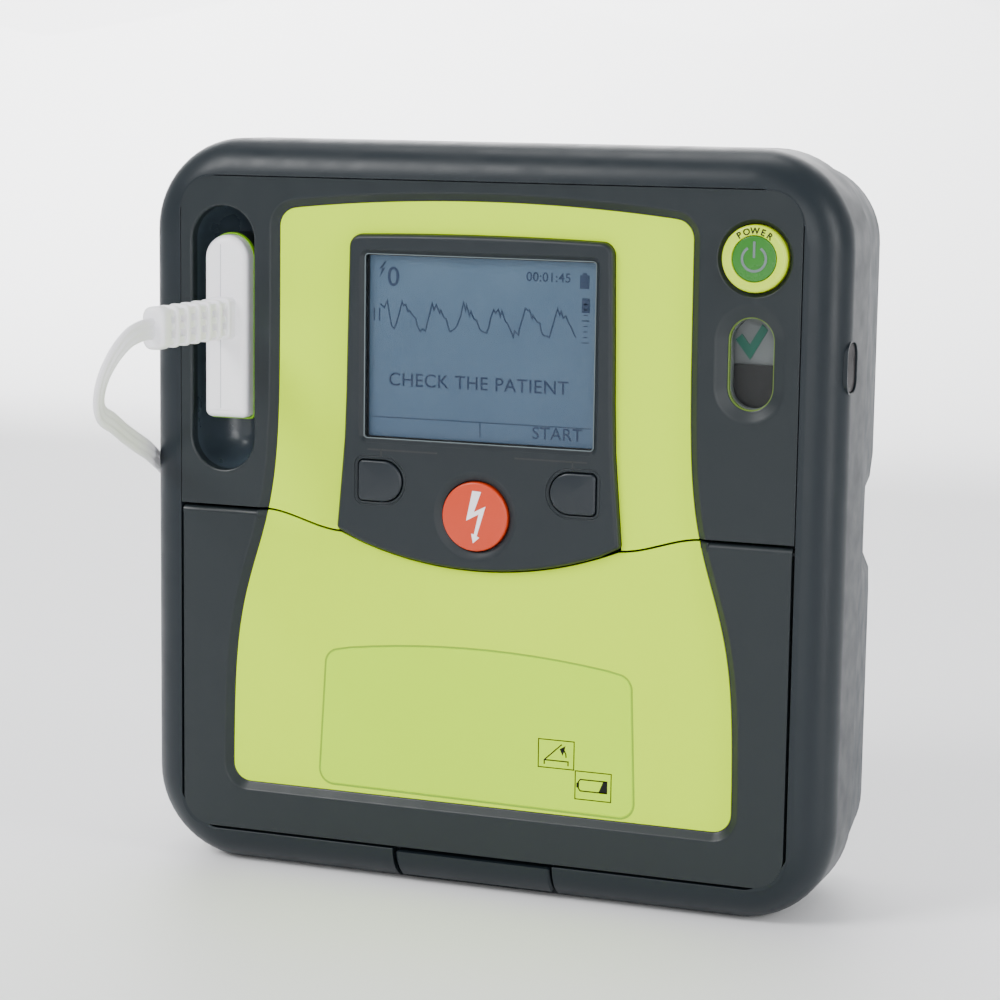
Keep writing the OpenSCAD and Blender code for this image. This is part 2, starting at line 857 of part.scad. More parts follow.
module battery_contacts() {
    color("#c9a227")
    for (x = [-12:8:12])
        translate([x - pad_w / 2, -(pack_front - battery_d + pack_slack), battery_z + battery_h - 14])
            cube([pad_w, pad_t, pad_h]);
}

module speaker() {
    color("#24282b")
    translate([speaker_x, -back - wall - speaker_h, speaker_z])
        rotate([-90, 0, 0]) {
            cylinder(r = speaker_r - 1, h = 4);
            translate([0, 0, 4]) cylinder(r = speaker_r, h = speaker_h - 4);
        }
}

module irda_window() {
    color("#241318")
    translate([body_w / 2 - wall, irda_y - irda_w / 2, irda_z - irda_h / 2])
        cube([wall - 0.4, irda_w, irda_h]);
}

module irda_board() {
    color("#2c6b3c")
    translate([body_w / 2 - wall - 4, irda_y - irda_w / 2 + 2, irda_z - irda_h / 2])
        cube([board_t, irda_w - 2, irda_h]);
}

module microphone() {
    color("#b8bcbf")
    translate([0, -(main_board_f + microphone_h), microphone_z])
        rotate([-90, 0, 0])
            cylinder(r = microphone_r, h = microphone_h);
}

module coin_cell() {
    color("#c5c8ca")
    translate([coin_x, -(main_board_f + coin_h), coin_z])
        rotate([-90, 0, 0])
            cylinder(r = coin_r, h = coin_h);
}

module display_cable() {
    color("#c48a3a")
    translate([-flex_w / 2, -(window_face - window_t - lcd_gap - lcd_t), window_z - flex_drop])
        cube([flex_w, window_face - window_t - lcd_gap - lcd_t - main_board_f, flex_t]);
}

// ---- cover ----

module cover_outline(gap) {
    intersection() {
        opening(-gap);
        below_seam(gap / 2);
    }
}

module lower_cover() {
    color("#3a4246")
    difference() {
        union() {
            slab(plate_back, face)
                intersection() {
                    cover_outline(cover_gap);
                    union() {
                        translate([-body_w, -50]) square([2 * body_w, hinge_z + 50]);
                        translate([-seam_flat, 0]) square([2 * seam_flat, seam_z + 5]);
                    }
                }
            for (s = [-1, 1])
                pin_x(hinge_r, s > 0 ? seam_flat - 0.5 : -half_open + cover_gap,
                    s > 0 ? half_open - cover_gap : -seam_flat + 0.5, hinge_f, hinge_z);
            slab(plate_back - rib_h, plate_back)
                for (s = [-1, 1])
                    translate([s * rib_x - rib_t / 2, rib_z]) square([rib_t, rib_len]);
        }
        slab(pocket_face, face + 1) panels_outline(trim_gap);
        for (s = [-1, 1])
            pin_x(pin_r, s > 0 ? half_open - cover_gap - pin_in : -half_open,
                s > 0 ? half_open : -half_open + cover_gap + pin_in, hinge_f, hinge_z);
    }
}

module lower_green_panel() {
    color("#c6dc72")
    slab(pocket_face, panel_face)
        intersection() {
            panels_outline();
            below_seam(cover_gap);
        }
}

module cover_label() {
    color("#c3df68")
    slab(panel_face, panel_face + label_t)
        offset(r = label_r, $fn = 32)
            offset(delta = -label_r)
                polygon(concat(label_foot,
                    [for (x = [label_half:-13:-label_half]) [x * 0.995, label_top_z - x * x / 720]]));
}

module cover_hinge_pins() {
    color("#b9bec1")
    for (s = [-1, 1])
        pin_x(pin_r, s > 0 ? half_open - cover_gap - pin_in : -half_open - pin_out,
            s > 0 ? half_open + pin_out : -half_open + cover_gap + pin_in, hinge_f, hinge_z);
}

module cover_seal() {
    color("#17191b")
    slab(ledge_front, ledge_front + seal_t)
        intersection() {
            difference() {
                opening(-0.6);
                opening(-2.6);
            }
            union() {
                translate([-body_w, 0]) square([body_w - latch_half - 2, hinge_z - 6]);
                translate([latch_half + 2, 0]) square([body_w - latch_half - 2, hinge_z - 6]);
            }
        }
}

// ---- latch ----

module latch_lever() {
    color("#353f46")
    union() {
        latch_sector(latch_r - latch_t, latch_r + 0.2, latch_half, latch_a0, latch_a1);
        for (s = [-1, 1])
            translate([s * (latch_half - latch_arm_t / 2) - latch_arm_t / 2, 0, 0])
                latch_arm(latch_arm_t);
    }
}

module latch_arm(t) {
    r = latch_r - latch_t + 0.5;
    translate([0, -latch_f, latch_z])
        rotate([0, 90, 0])
            linear_extrude(t)
                polygon([[2.2, 1.2], [-1.2, -2.2], [r * sin(12), -r * cos(12)], [r * sin(50), -r * cos(50)]]);
    translate([0, -latch_f, latch_z])
        rotate([0, 90, 0])
            cylinder(r = latch_eye_r, h = t);
}

module latch_pins() {
    color("#b9bec1")
    for (s = [-1, 1])
        pin_x(latch_pin_r, s > 0 ? latch_half : -latch_half - latch_pin_out,
            s > 0 ? latch_half + latch_pin_out : -latch_half, latch_f, latch_z);
}

// ---- lead ----

module plug_outline() {
    translate([0, plug_h / 2 - plug_w / 2]) circle(plug_w / 2);
    translate([-plug_w / 2, -plug_h / 2]) square([plug_w, plug_h - plug_w / 2]);
}

module plug_body() {
    color("#e6e5e9")
    difference() {
        slab(plug_seat, plug_face) translate([plug_x, plug_z]) plug_outline();
        for (z = contact_rows)
            translate([plug_x, -plug_seat + 1, plug_z + z])
                rotate([90, 0, 0]) cylinder(r = contact_r + 0.5, h = 6);
    }
}

module plug_contacts() {
    color("#c9a227")
    for (z = contact_rows)
        translate([plug_x, -plug_seat, plug_z + z])
            rotate([90, 0, 0])
                difference() {
                    cylinder(r = contact_r + 0.45, h = 4);
                    translate([0, 0, -1]) cylinder(r = contact_r + 0.1, h = 6);
                }
}

// a rounded block of the strain relief: its extra thickness and height, start and length
module relief_block(grow, from, len) {
    w = relief_t + grow;
    translate([0, 0, from])
        linear_extrude(len)
            rounded(w, 2 * relief_r + grow, w / 2 - relief_edge);
}

module strain_relief() {
    color("#e2e1e5")
    translate([plug_x, -plug_face, relief_z])
        rotate([90, 0, 0]) {
            relief_block(-relief_rib_h, 0, relief_len);
            relief_block(relief_collar, 0, relief_base_len);
            for (i = [0:relief_ribs - 1])
                relief_block(0, relief_first_rib + i * relief_step, relief_rib_len);
            relief_block(relief_collar - 0.4, relief_len - relief_tail_len, relief_tail_len);
        }
}

function unit(v) = v / norm(v);
function catmull(p, i, t) = let (n = len(p) - 1, a = p[max(i - 1, 0)], b = p[i], c = p[min(i + 1, n)],
    d = p[min(i + 2, n)]) 0.5 * (2 * b + (c - a) * t + (2 * a - 5 * b + 4 * c - d) * t * t
    + (3 * b - a - 3 * c + d) * t * t * t);
cord_steps = 2;
cord_path = [for (i = [0:len(cord_route) - 2]) for (k = [0:cord_steps - 1])
    catmull(cord_route, i, k / cord_steps)];
cord_line = concat(cord_path, [cord_route[len(cord_route) - 1]]);
cord_sides = 8;

// width direction of the flat cable: upright where it leaves the relief, flat against the case's side, and
// upright again where it joins the coil
function cord_side(i) = let (n = len(cord_line) - 1,
    t = unit(cord_line[min(i + 1, n)] - cord_line[max(i - 1, 0)]),
    b = smooth((i / n - 0.84) / 0.14),
    w = cross(t, [1, 0, 0]) * (1 - b) + [0, 0, -1] * b)
    unit(w - t * (w * t));

module cord_tube() {
    n = len(cord_line);
    rings = [for (i = [0:n - 1]) let (t = unit(cord_line[min(i + 1, n - 1)] - cord_line[max(i - 1, 0)]),
        w = cord_side(i), u = cross(t, w)) for (k = [0:cord_sides - 1])
        let (a = 360 * k / cord_sides + 22.5)
        cord_line[i] + w * cord_w / 2 * cos(a) + u * cord_t / 2 * sin(a)];
    color("#e6e5e9")
    polyhedron(rings, concat(
        [[for (k = [0:cord_sides - 1]) k]],
        [for (i = [0:n - 2]) for (k = [0:cord_sides - 1]) let (j = (k + 1) % cord_sides)
            [i * cord_sides + k, (i + 1) * cord_sides + k, (i + 1) * cord_sides + j, i * cord_sides + j]],
        [[for (k = [cord_sides - 1:-1:0]) (n - 1) * cord_sides + k]]));
}

module cord_coil() {
    color("#dcdbe0")
    translate([coil_x, coil_y, 0])
        difference() {
            rotate_extrude()
                translate([coil_mid_r - coil_half_band, 0]) square([2 * coil_half_band, 2 * coil_h]);
            rotate([0, 0, -coil_open / 2])
                rotate_extrude(angle = coil_open)
                    translate([coil_mid_r - coil_half_band - 1, coil_h])
                        square([2 * coil_half_band + 2, coil_h + 1]);
        }
}

module cord_tie() {
    color("#2b2f33")
    for (a = [80, 200])
        translate([coil_x, coil_y, 0])
            rotate([0, 0, a])
                translate([coil_mid_r - coil_half_band - 1.6, -5, 0])
                    difference() {
                        cube([2 * coil_half_band + 2.6, 10, 2 * coil_h + 1.1]);
                        translate([1, -1, -1]) cube([2 * coil_half_band + 0.7, 12, 2 * coil_h + 1.1]);
                    }
}

module pads_connector() {
    color("#e6e5e9")
    translate([coil_x + coil_mid_r, coil_y, coil_h])
        union() {
            translate([-7.5, -14, 0]) cube([15, 32, 9]);
            translate([-4, -21, 0.5]) cube([8, 8, 8]);
        }
}

front_housing();
rear_housing();
housing_gasket();
upper_faceplate();
upper_green_panel();
display_bezel();
display_window();
lcd_module();
electrode_port();
port_contacts();
status_gasket();
status_lens();
status_card();
status_shutter();
keypad_board();
button_domes();
main_board();
board_components();
hv_board();
hv_capacitor();
hv_transformer();
battery_bay();
battery_pack();
battery_contacts();
lower_cover();
lower_green_panel();
cover_label();
cover_hinge_pins();
cover_seal();
latch_lever();
latch_pins();
power_button_ring();
power_button_core();
shock_button();
softkey_left();
softkey_right();
speaker();
irda_window();
irda_board();
microphone();
coin_cell();
rear_feet();
case_screws();
board_screws();
display_cable();
plug_body();
plug_contacts();
strain_relief();
cord_tube();
cord_coil();
cord_tie();
pads_connector();
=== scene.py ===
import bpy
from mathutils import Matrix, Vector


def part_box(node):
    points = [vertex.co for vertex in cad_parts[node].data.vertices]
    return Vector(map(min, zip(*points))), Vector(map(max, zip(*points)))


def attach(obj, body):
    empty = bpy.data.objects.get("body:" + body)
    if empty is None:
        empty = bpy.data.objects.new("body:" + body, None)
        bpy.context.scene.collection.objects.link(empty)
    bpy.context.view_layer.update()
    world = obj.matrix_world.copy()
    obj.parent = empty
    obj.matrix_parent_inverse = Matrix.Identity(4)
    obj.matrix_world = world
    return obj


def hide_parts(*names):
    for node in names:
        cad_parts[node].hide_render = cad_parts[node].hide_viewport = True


bl_info = {
    "name": "Portable defibrillator",
    "version": (1, 0, 0),
    "blender": (4, 5, 0),
    "location": "3D View > Sidebar > Defibrillator",
    "description": "Builds the finished casings, panels, display, buttons and lead around the packed frame",
    "category": "Object",
}

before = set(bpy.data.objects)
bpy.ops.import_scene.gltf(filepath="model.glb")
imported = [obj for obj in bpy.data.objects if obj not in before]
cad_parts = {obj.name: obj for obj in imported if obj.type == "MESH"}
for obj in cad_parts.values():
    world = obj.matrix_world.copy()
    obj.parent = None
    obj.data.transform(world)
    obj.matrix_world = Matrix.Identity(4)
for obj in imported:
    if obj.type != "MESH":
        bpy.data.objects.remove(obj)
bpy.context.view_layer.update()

import math
import random

import bmesh
import bpy
from mathutils import Matrix, Vector, geometry

MM = 0.001


def node_box(name):
    """Lowest and highest corners of a frame node, in millimetres."""
    low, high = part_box(name)
    return [c / MM for c in low], [c / MM for c in high]


# The face looks along -Y, so "forward" is the distance in front of the middle plane, in millimetres.
FRONT_LO, FRONT_HI = node_box("front_housing")
REAR_HI = node_box("rear_housing")[1]
BODY_W = FRONT_HI[0] - FRONT_LO[0]
BODY_H = FRONT_HI[2] - FRONT_LO[2]
FACE = -FRONT_LO[1]
PARTING = -FRONT_HI[1]
BACK = -REAR_HI[1]
MID_Z = BODY_H / 2


# ---------------------------------------------------------------- sizes and colours

class CaseSettings(bpy.types.PropertyGroup):
    colour: bpy.props.StringProperty(name="Case colour", description="sRGB hex of the moulded case",
                                     default="#171E23")
    corner_r: bpy.props.FloatProperty(name="Corner radius", description="Outer corner radius in mm",
                                      default=30.0, min=20.0, max=40.0)
    bevel_r: bpy.props.FloatProperty(name="Bevel radius", description="Radius of the front bevel in mm",
                                     default=12.8, min=6.0, max=16.0)
    taper: bpy.props.FloatProperty(name="Rear taper", description="Inward taper of the rear housing in mm",
                                   default=5.0, min=0.0, max=8.0)


class PanelSettings(bpy.types.PropertyGroup):
    colour: bpy.props.StringProperty(name="Panel colour", description="sRGB hex of the green panels",
                                     default="#C8EE00")
    neck: bpy.props.FloatProperty(name="Neck", description="Half width of the upper panel in mm",
                                  default=69.0, min=60.0, max=75.0)
    base: bpy.props.FloatProperty(name="Base", description="Half width of the lower panel in mm",
                                  default=85.5, min=75.0, max=90.0)
    seam: bpy.props.FloatProperty(name="Seam", description="Height of the seam above the base in mm",
                                  default=120.0, min=110.0, max=125.0)


class ButtonSettings(bpy.types.PropertyGroup):
    shock: bpy.props.StringProperty(name="Shock colour", description="sRGB hex of the shock button",
                                    default="#BE3408")
    power: bpy.props.StringProperty(name="Power ring colour", description="sRGB hex of the power ring",
                                    default="#C2E018")
    dome: bpy.props.FloatProperty(name="Dome", description="Crown of a button's face in mm",
                                  default=0.35, min=0.0, max=0.8)


class LeadSettings(bpy.types.PropertyGroup):
    colour: bpy.props.StringProperty(name="Lead colour", description="sRGB hex of the cable's jacket",
                                     default="#ECEBF0")
    width: bpy.props.FloatProperty(name="Width", description="Width of the flat cable in mm",
                                   default=7.2, min=5.0, max=8.0)
    thickness: bpy.props.FloatProperty(name="Thickness", description="Thickness of the flat cable in mm",
                                       default=2.6, min=2.0, max=3.0)


def settings():
    return bpy.context.scene.defibrillator


# ---------------------------------------------------------------- materials

def linear(code, alpha=1.0):
    """sRGB hex to a linear colour."""
    parts = [int(code[i:i + 2], 16) / 255 for i in (1, 3, 5)]
    return [p / 12.92 if p <= 0.04045 else ((p + 0.055) / 1.055) ** 2.4 for p in parts] + [alpha]


def add(tree, kind, links=None, **values):
    """Adds a node, sets its properties and sockets, and links its inputs."""
    node = tree.nodes.new(kind)
    for key, value in values.items():
        if key.startswith("in_"):
            name = key[3:]
            node.inputs[int(name) if name.isdigit() else name.replace("_", " ")].default_value = value
        else:
            setattr(node, key, value)
    for key, source in (links or {}).items():
        tree.links.new(source, node.inputs[key])
    return node


def new_material(name, colour, roughness, **shader):
    """A material with a Principled shader; returns it with its tree and shader."""
    material = bpy.data.materials.new(name)
    material.use_nodes = True
    tree = material.node_tree
    bsdf = tree.nodes["Principled BSDF"]
    bsdf.inputs["Base Color"].default_value = colour
    bsdf.inputs["Roughness"].default_value = roughness
    for key, value in shader.items():
        bsdf.inputs[key.replace("_", " ")].default_value = value
    material.diffuse_color = colour
    return material, tree, bsdf


def grained(name, code, roughness, grain_mm, depth, tint=0.06, **shader):
    """Moulded plastic: a fine spark-eroded grain in the bump, and a slow drift in tone and gloss."""
    colour = linear(code)
    material, tree, bsdf = new_material(name, colour, roughness, **shader)
    place = add(tree, "ShaderNodeTexCoord").outputs["Object"]
    grain = add(tree, "ShaderNodeTexNoise", {"Vector": place}, in_Scale=1 / (grain_mm * MM), in_Detail=2.0)
    drift = add(tree, "ShaderNodeTexNoise", {"Vector": place}, in_Scale=1 / (55 * MM), in_Detail=3.0)
    smear = add(tree, "ShaderNodeTexNoise", {"Vector": place}, in_Scale=1 / (9 * MM), in_Detail=4.0)
    bump = add(tree, "ShaderNodeBump", {"Height": grain.outputs["Fac"]}, in_Strength=0.35,
               in_Distance=depth * MM)
    tree.links.new(bump.outputs["Normal"], bsdf.inputs["Normal"])
    lighter = [min(1.0, c * (1 + tint) + tint * 0.01) for c in colour[:3]] + [1.0]
    darker = [c * (1 - tint) for c in colour[:3]] + [1.0]
    tone = add(tree, "ShaderNodeMix", {"Factor": drift.outputs["Fac"]}, data_type="RGBA",
               in_6=darker, in_7=lighter)
    tree.links.new(tone.outputs[2], bsdf.inputs["Base Color"])
    gloss = add(tree, "ShaderNodeMapRange", {"Value": smear.outputs["Fac"]}, in_1=0.3, in_2=0.7,
                in_3=max(0.02, roughness - 0.05), in_4=min(1.0, roughness + 0.06))
    tree.links.new(gloss.outputs["Result"], bsdf.inputs["Roughness"])
    return material


def brushed_metal(name, code, roughness, turn_mm):
    """Metal with fine turning lines that follow its length."""
    material, tree, bsdf = new_material(name, linear(code), roughness, Metallic=1.0)
    place = add(tree, "ShaderNodeTexCoord").outputs["Object"]
    stretch = add(tree, "ShaderNodeMapping", {"Vector": place}, in_Scale=(8.0, 1.0, 8.0))
    lines = add(tree, "ShaderNodeTexNoise", {"Vector": stretch.outputs["Vector"]},
                in_Scale=0.2 / (turn_mm * MM), in_Detail=3.0)
    bump = add(tree, "ShaderNodeBump", {"Height": lines.outputs["Fac"]}, in_Strength=0.25,
               in_Distance=0.02 * MM)
    tree.links.new(bump.outputs["Normal"], bsdf.inputs["Normal"])
    gloss = add(tree, "ShaderNodeMapRange", {"Value": lines.outputs["Fac"]}, in_3=roughness - 0.08,
                in_4=roughness + 0.12)
    tree.links.new(gloss.outputs["Result"], bsdf.inputs["Roughness"])
    return material


def lcd_glass():
    # Reflective liquid crystal: blue grey, with the sheen of its polariser; painted light makes it paler to the
    # upper left.
    colour = linear("#647B8F")
    material, tree, bsdf = new_material("lcd_polariser_blue", colour, 0.32, Coat_Weight=0.3,
                                        Coat_Roughness=0.15)
    place = add(tree, "ShaderNodeTexCoord").outputs["Object"]
    split = add(tree, "ShaderNodeSeparateXYZ", {"Vector": place})
    low, high = node_box("lcd_module")
    # Painted light: the cells run paler towards the top, mottled by noise.
    slope = add(tree, "ShaderNodeMapRange", {"Value": split.outputs["Z"]}, in_1=low[2] * MM,
                in_2=high[2] * MM)
    cloud = add(tree, "ShaderNodeTexNoise", {"Vector": place}, in_Scale=1 / (30 * MM), in_Detail=2.0)
    painted_top_light = add(tree, "ShaderNodeMath", {0: slope.outputs["Result"], 1: cloud.outputs["Fac"]},
                operation="MULTIPLY")
    tone = add(tree, "ShaderNodeMix", {"Factor": painted_top_light.outputs["Value"]}, data_type="RGBA",
               in_6=linear("#3F5871"), in_7=linear("#60788D"))
    cells = add(tree, "ShaderNodeTexChecker", {"Vector": place}, in_Scale=1 / (0.35 * MM),
                in_Color1=(1, 1, 1, 1), in_Color2=(0.93, 0.94, 0.95, 1))
    shade = add(tree, "ShaderNodeMix", {6: tone.outputs[2], 7: cells.outputs["Color"]}, data_type="RGBA",
                blend_type="MULTIPLY", in_0=1.0)
    tree.links.new(shade.outputs[2], bsdf.inputs["Base Color"])
    return material


def clear_window(name, tint, alpha):
    """Hard coated clear plastic: mostly see-through, with a sharp surface reflection."""
    material, tree, bsdf = new_material(name, linear(tint, 1.0), 0.06, Alpha=alpha, IOR=1.49,
                                        Specular_IOR_Level=0.22)
    place = add(tree, "ShaderNodeTexCoord").outputs["Object"]
    ripple = add(tree, "ShaderNodeTexNoise", {"Vector": place}, in_Scale=1 / (14 * MM), in_Detail=1.0)
    bump = add(tree, "ShaderNodeBump", {"Height": ripple.outputs["Fac"]}, in_Strength=0.06,
               in_Distance=0.1 * MM)
    tree.links.new(bump.outputs["Normal"], bsdf.inputs["Normal"])
    if hasattr(material, "surface_render_method"):
        material.surface_render_method = "BLENDED"
    return material


def board_green():
    # Glass epoxy board under green solder mask, with copper tracks showing as a paler grid.
    material, tree, bsdf = new_material("fr4_solder_mask_green", linear("#1C5A34"), 0.35, Coat_Weight=0.3)
    place = add(tree, "ShaderNodeTexCoord").outputs["Object"]
    tracks = add(tree, "ShaderNodeTexBrick", {"Vector": place}, in_Scale=1 / (6 * MM),
                 in_Color1=linear("#1B5731"), in_Color2=linear("#1F6139"), in_Mortar=linear("#2F7A49"),
                 in_Mortar_Size=0.03)
    tree.links.new(tracks.outputs["Color"], bsdf.inputs["Base Color"])
    bump = add(tree, "ShaderNodeBump", {"Height": tracks.outputs["Fac"]}, in_Strength=0.3,
               in_Distance=0.05 * MM)
    tree.links.new(bump.outputs["Normal"], bsdf.inputs["Normal"])
    return material


def woven_strap():
    # Hook and loop tape in black nylon: a fuzzy weave.
    material, tree, bsdf = new_material("nylon_tape_black", linear("#1D2023"), 0.85, Sheen_Weight=0.4)
    place = add(tree, "ShaderNodeTexCoord").outputs["Object"]
    weave = add(tree, "ShaderNodeTexWave", {"Vector": place}, in_Scale=1 / (3 * MM), in_Distortion=2.0)
    bump = add(tree, "ShaderNodeBump", {"Height": weave.outputs["Fac"]}, in_Strength=0.6,
               in_Distance=0.2 * MM)
    tree.links.new(bump.outputs["Normal"], bsdf.inputs["Normal"])
    return material


# Moulded plastics, films, inks and rubber: the colour or the setting that holds it, roughness, size of the
# grain and its depth in millimetres, and what differs from the plain shader.
MOULDED = {
    # Moulded ABS and polycarbonate blend: slate grey, satin, with a spark-eroded grain that breaks up
    # highlights.
    "abs_case_slate": ("case.colour", 0.38, 0.55, 0.035, dict(Specular_IOR_Level=0.26)),
    # The rear moulding has a coarser, duller mould texture for grip, so it keeps dark at low angles.
    "abs_rear_slate": ("#1D252B", 0.48, 0.7, 0.045, dict(Specular_IOR_Level=0.2)),
    # The electrode well is left smoother by its mould, with a soft gloss down in the bowl; its colour is painted
    # light, a shade paler than the faceplate to stand for light reaching into the bowl.
    "abs_well_painted_light": ("#323C44", 0.3, 0.4, 0.02, dict(Specular_IOR_Level=0.6)),
    # The same blend in a finer mould texture: flatter and slightly warmer than the frame round it.
    "abs_faceplate_slate": ("#1B2124", 0.38, 0.4, 0.03, dict(Specular_IOR_Level=0.3)),
    # Fine satin moulding round the display.
    "abs_bezel_slate": ("#1B2125", 0.42, 0.35, 0.02, dict(Specular_IOR_Level=0.3)),
    # Polycarbonate overlay, screen printed lime green from behind: even colour under a velvet finish.
    "polycarbonate_overlay_lime": ("panel.colour", 0.46, 0.3, 0.012,
        dict(tint=0.02, Specular_IOR_Level=0.12)),
    # A second printed film: a shade paler, as the two layers show.
    "polyester_label_lime": ("#BEEA00", 0.5, 0.3, 0.012, dict(tint=0.02, Specular_IOR_Level=0.12)),
    # A flat ring round the label in the same lime darkened: painted shade for a groove pressed round it.
    "lime_groove_painted_shade": ("#7DA800", 0.5, 0.3, 0.01, dict(tint=0.03)),
    # Screen printing ink, black green, dead flat.
    "screen_ink_black": ("#0D100C", 0.6, 0.3, 0.01, dict(tint=0.02, Specular_IOR_Level=0.2)),
    # Thin dark printing on the bezel.
    "screen_ink_bezel": ("#14181B", 0.5, 0.3, 0.01, dict(tint=0.02)),
    # Moulded silicone keys: a soft dull grey sheen.
    "silicone_key_slate": ("#151C22", 0.36, 0.35, 0.02, dict(Specular_IOR_Level=0.4)),
    # Orange coloured ABS, satin.
    "abs_shock_orange": ("button.shock", 0.38, 0.35, 0.012, dict(tint=0.03)),
    # Pad printed white.
    "pad_print_white": ("#EDEBF0", 0.4, 0.3, 0.008, dict(tint=0.01)),
    # Lime coloured polycarbonate with a little light in it.
    "polycarbonate_lime": ("button.power", 0.3, 0.4, 0.01,
        dict(tint=0.03, Subsurface_Weight=0.08, Subsurface_Scale=0.002)),
    # Soft lime seal seen past the edge of the lens, duller than the hard lime parts.
    "elastomer_seal_lime": ("#5E7A22", 0.35, 0.4, 0.01, dict(tint=0.04)),
    # Translucent green polycarbonate over a lamp, so it looks lit from inside.
    "polycarbonate_green": ("#256E1A", 0.28, 0.4, 0.008,
        dict(tint=0.05, Subsurface_Weight=0.1, Subsurface_Scale=0.002)),
    # Connector housing in bright lime ABS.
    "abs_port_lime": ("#78B400", 0.32, 0.4, 0.012, dict(tint=0.03)),
    # Grey violet print on the power button.
    "pad_print_grey": ("#5F6C6C", 0.4, 0.3, 0.008, dict(tint=0.01)),
    # White flexible PVC moulding: soft gloss with light scattering just under the skin.
    "pvc_white_moulding": ("#F4F3F7", 0.34, 0.45, 0.012,
        dict(tint=0.015, Subsurface_Weight=0.04, Subsurface_Scale=0.001)),
    # Extruded PVC jacket: duller than the mouldings, with faint draw lines.
    "pvc_cable_white": ("lead.colour", 0.45, 0.5, 0.015, dict(tint=0.03)),
    # Black silicone rubber, matte, with dust in its pores.
    "silicone_rubber_black": ("#17191A", 0.75, 0.5, 0.03, dict(tint=0.15)),
    # Black polycarbonate.
    "polycarbonate_black": ("#0E0F10", 0.35, 0.4, 0.01, dict(tint=0.05)),
    # Printed grey card.
    "printed_card_grey": ("#666B6C", 0.5, 0.2, 0.01, dict(tint=0.03)),
    # Teal print.
    "card_ink_teal": ("#065A48", 0.45, 0.2, 0.01, dict(tint=0.03)),
    # Dark liquid crystal cells.
    "lcd_cells_dark": ("#22344F", 0.4, 0.3, 0.005, dict(tint=0.04)),
    # A pale ring along the pane's polished edge: a painted glint for light gathered by the acrylic coming out
    # there.
    "pane_edge_painted_glint": ("#5A6568", 0.2, 0.6, 0.005, dict(tint=0.1)),
    # The parting line left by the mould: a hair of grey.
    "pvc_mould_line_grey": ("#B9B8BF", 0.5, 0.3, 0.01, dict(tint=0.02)),
    # Infrared filter: acrylic so dark a red that it looks black, polished.
    "acrylic_infrared_dark": ("#120D0F", 0.4, 0.8, 0.004, dict(tint=0.08, Specular_IOR_Level=0.08)),
    # Black moulded epoxy packages.
    "epoxy_package_black": ("#191B1D", 0.6, 0.3, 0.02, dict(tint=0.1)),
    # Moulded battery case, charcoal.
    "abs_battery_charcoal": ("#2A2F33", 0.5, 0.5, 0.03, {}),
    # Amber polyimide film over copper tracks.
    "polyimide_flex_amber": ("#B8742A", 0.35, 0.5, 0.01, dict(tint=0.12)),
}

# Metals: colour, roughness and distance between turning lines in millimetres.
METALS = {
    # Zinc plated steel: bright grey with fine turning marks.
    "steel_zinc_plated": ("#B4B8BC", 0.32, 0.3),
    # Steel pins with a black oxide finish.
    "steel_black_oxide": ("#2A2C2E", 0.42, 0.3),
    # Gold over nickel on the contacts.
    "gold_plated_contact": ("#D8A94A", 0.22, 0.3),
    # Drawn aluminium can.
    "aluminium_drawn_can": ("#BFC3C8", 0.3, 0.4),
    # Enamelled copper winding: glossy amber brown in fine turns.
    "copper_enamelled_wire": ("#B8652C", 0.3, 0.5),
}

# Clear panes: tint and opacity. The display's pane is a hard coated sheet, the lens a thicker moulding.
PANES = {
    "acrylic_window_clear": ("#1A222A", 0.1),
    "polycarbonate_lens_clear": ("#14191A", 0.08),
}


PATTERNED = {"lcd_polariser_blue": lcd_glass, "fr4_solder_mask_green": board_green,
             "nylon_tape_black": woven_strap}
MADE = {}


def finish(name):
    """The material of that name, made when first asked for and then shared."""
    if name not in MADE:
        if name in MOULDED:
            code, roughness, grain_mm, depth, shader = MOULDED[name]
            code = code if code.startswith("#") else settings().path_resolve(code)
            MADE[name] = grained(name, code, roughness, grain_mm, depth, **shader)
        elif name in METALS:
            MADE[name] = brushed_metal(name, *METALS[name])
        elif name in PANES:
            MADE[name] = clear_window(name, *PANES[name])
        else:
            MADE[name] = PATTERNED[name]()
    return MADE[name]


# ---------------------------------------------------------------- outlines, in (x, z) millimetres

def arc(cx, cz, r, a0, a1, steps):
    return [(cx + r * math.cos(math.radians(a0 + (a1 - a0) * i / steps)),
             cz + r * math.sin(math.radians(a0 + (a1 - a0) * i / steps))) for i in range(steps + 1)]


def circle(cx, cz, r, steps=96):
    return arc(cx, cz, r, 0, 360, steps)[:-1]


def rounded_rect(w, h, r, cz=0.0, corner=14, side=1, cx=0.0):
    """Counter-clockwise from the right side's foot. Straight sides are cut into equal lengths."""
    points = []
    centres = ((w / 2 - r, h / 2 - r, 0), (r - w / 2, h / 2 - r, 90), (r - w / 2, r - h / 2, 180),
               (w / 2 - r, r - h / 2, 270))
    for i, (x, z, turn) in enumerate(centres):
        points += arc(x, z, r, turn, turn + 90, corner)
        nx, nz, nt = centres[(i + 1) % 4]
        start = points[-1]
        end = (nx + r * math.cos(math.radians(nt)), nz + r * math.sin(math.radians(nt)))
        points += [(start[0] + (end[0] - start[0]) * k / side, start[1] + (end[1] - start[1]) * k / side)
                   for k in range(1, side)]
    return [(x + cx, z + cz) for x, z in points]


def capsule(cx, cz, w, h, steps=28):
    reach = (h - w) / 2
    return arc(cx, cz + reach, w / 2, 0, 180, steps) + arc(cx, cz - reach, w / 2, 180, 360, steps)


def smooth(t):
    t = min(max(t, 0.0), 1.0)
    return t * t * (3 - 2 * t)


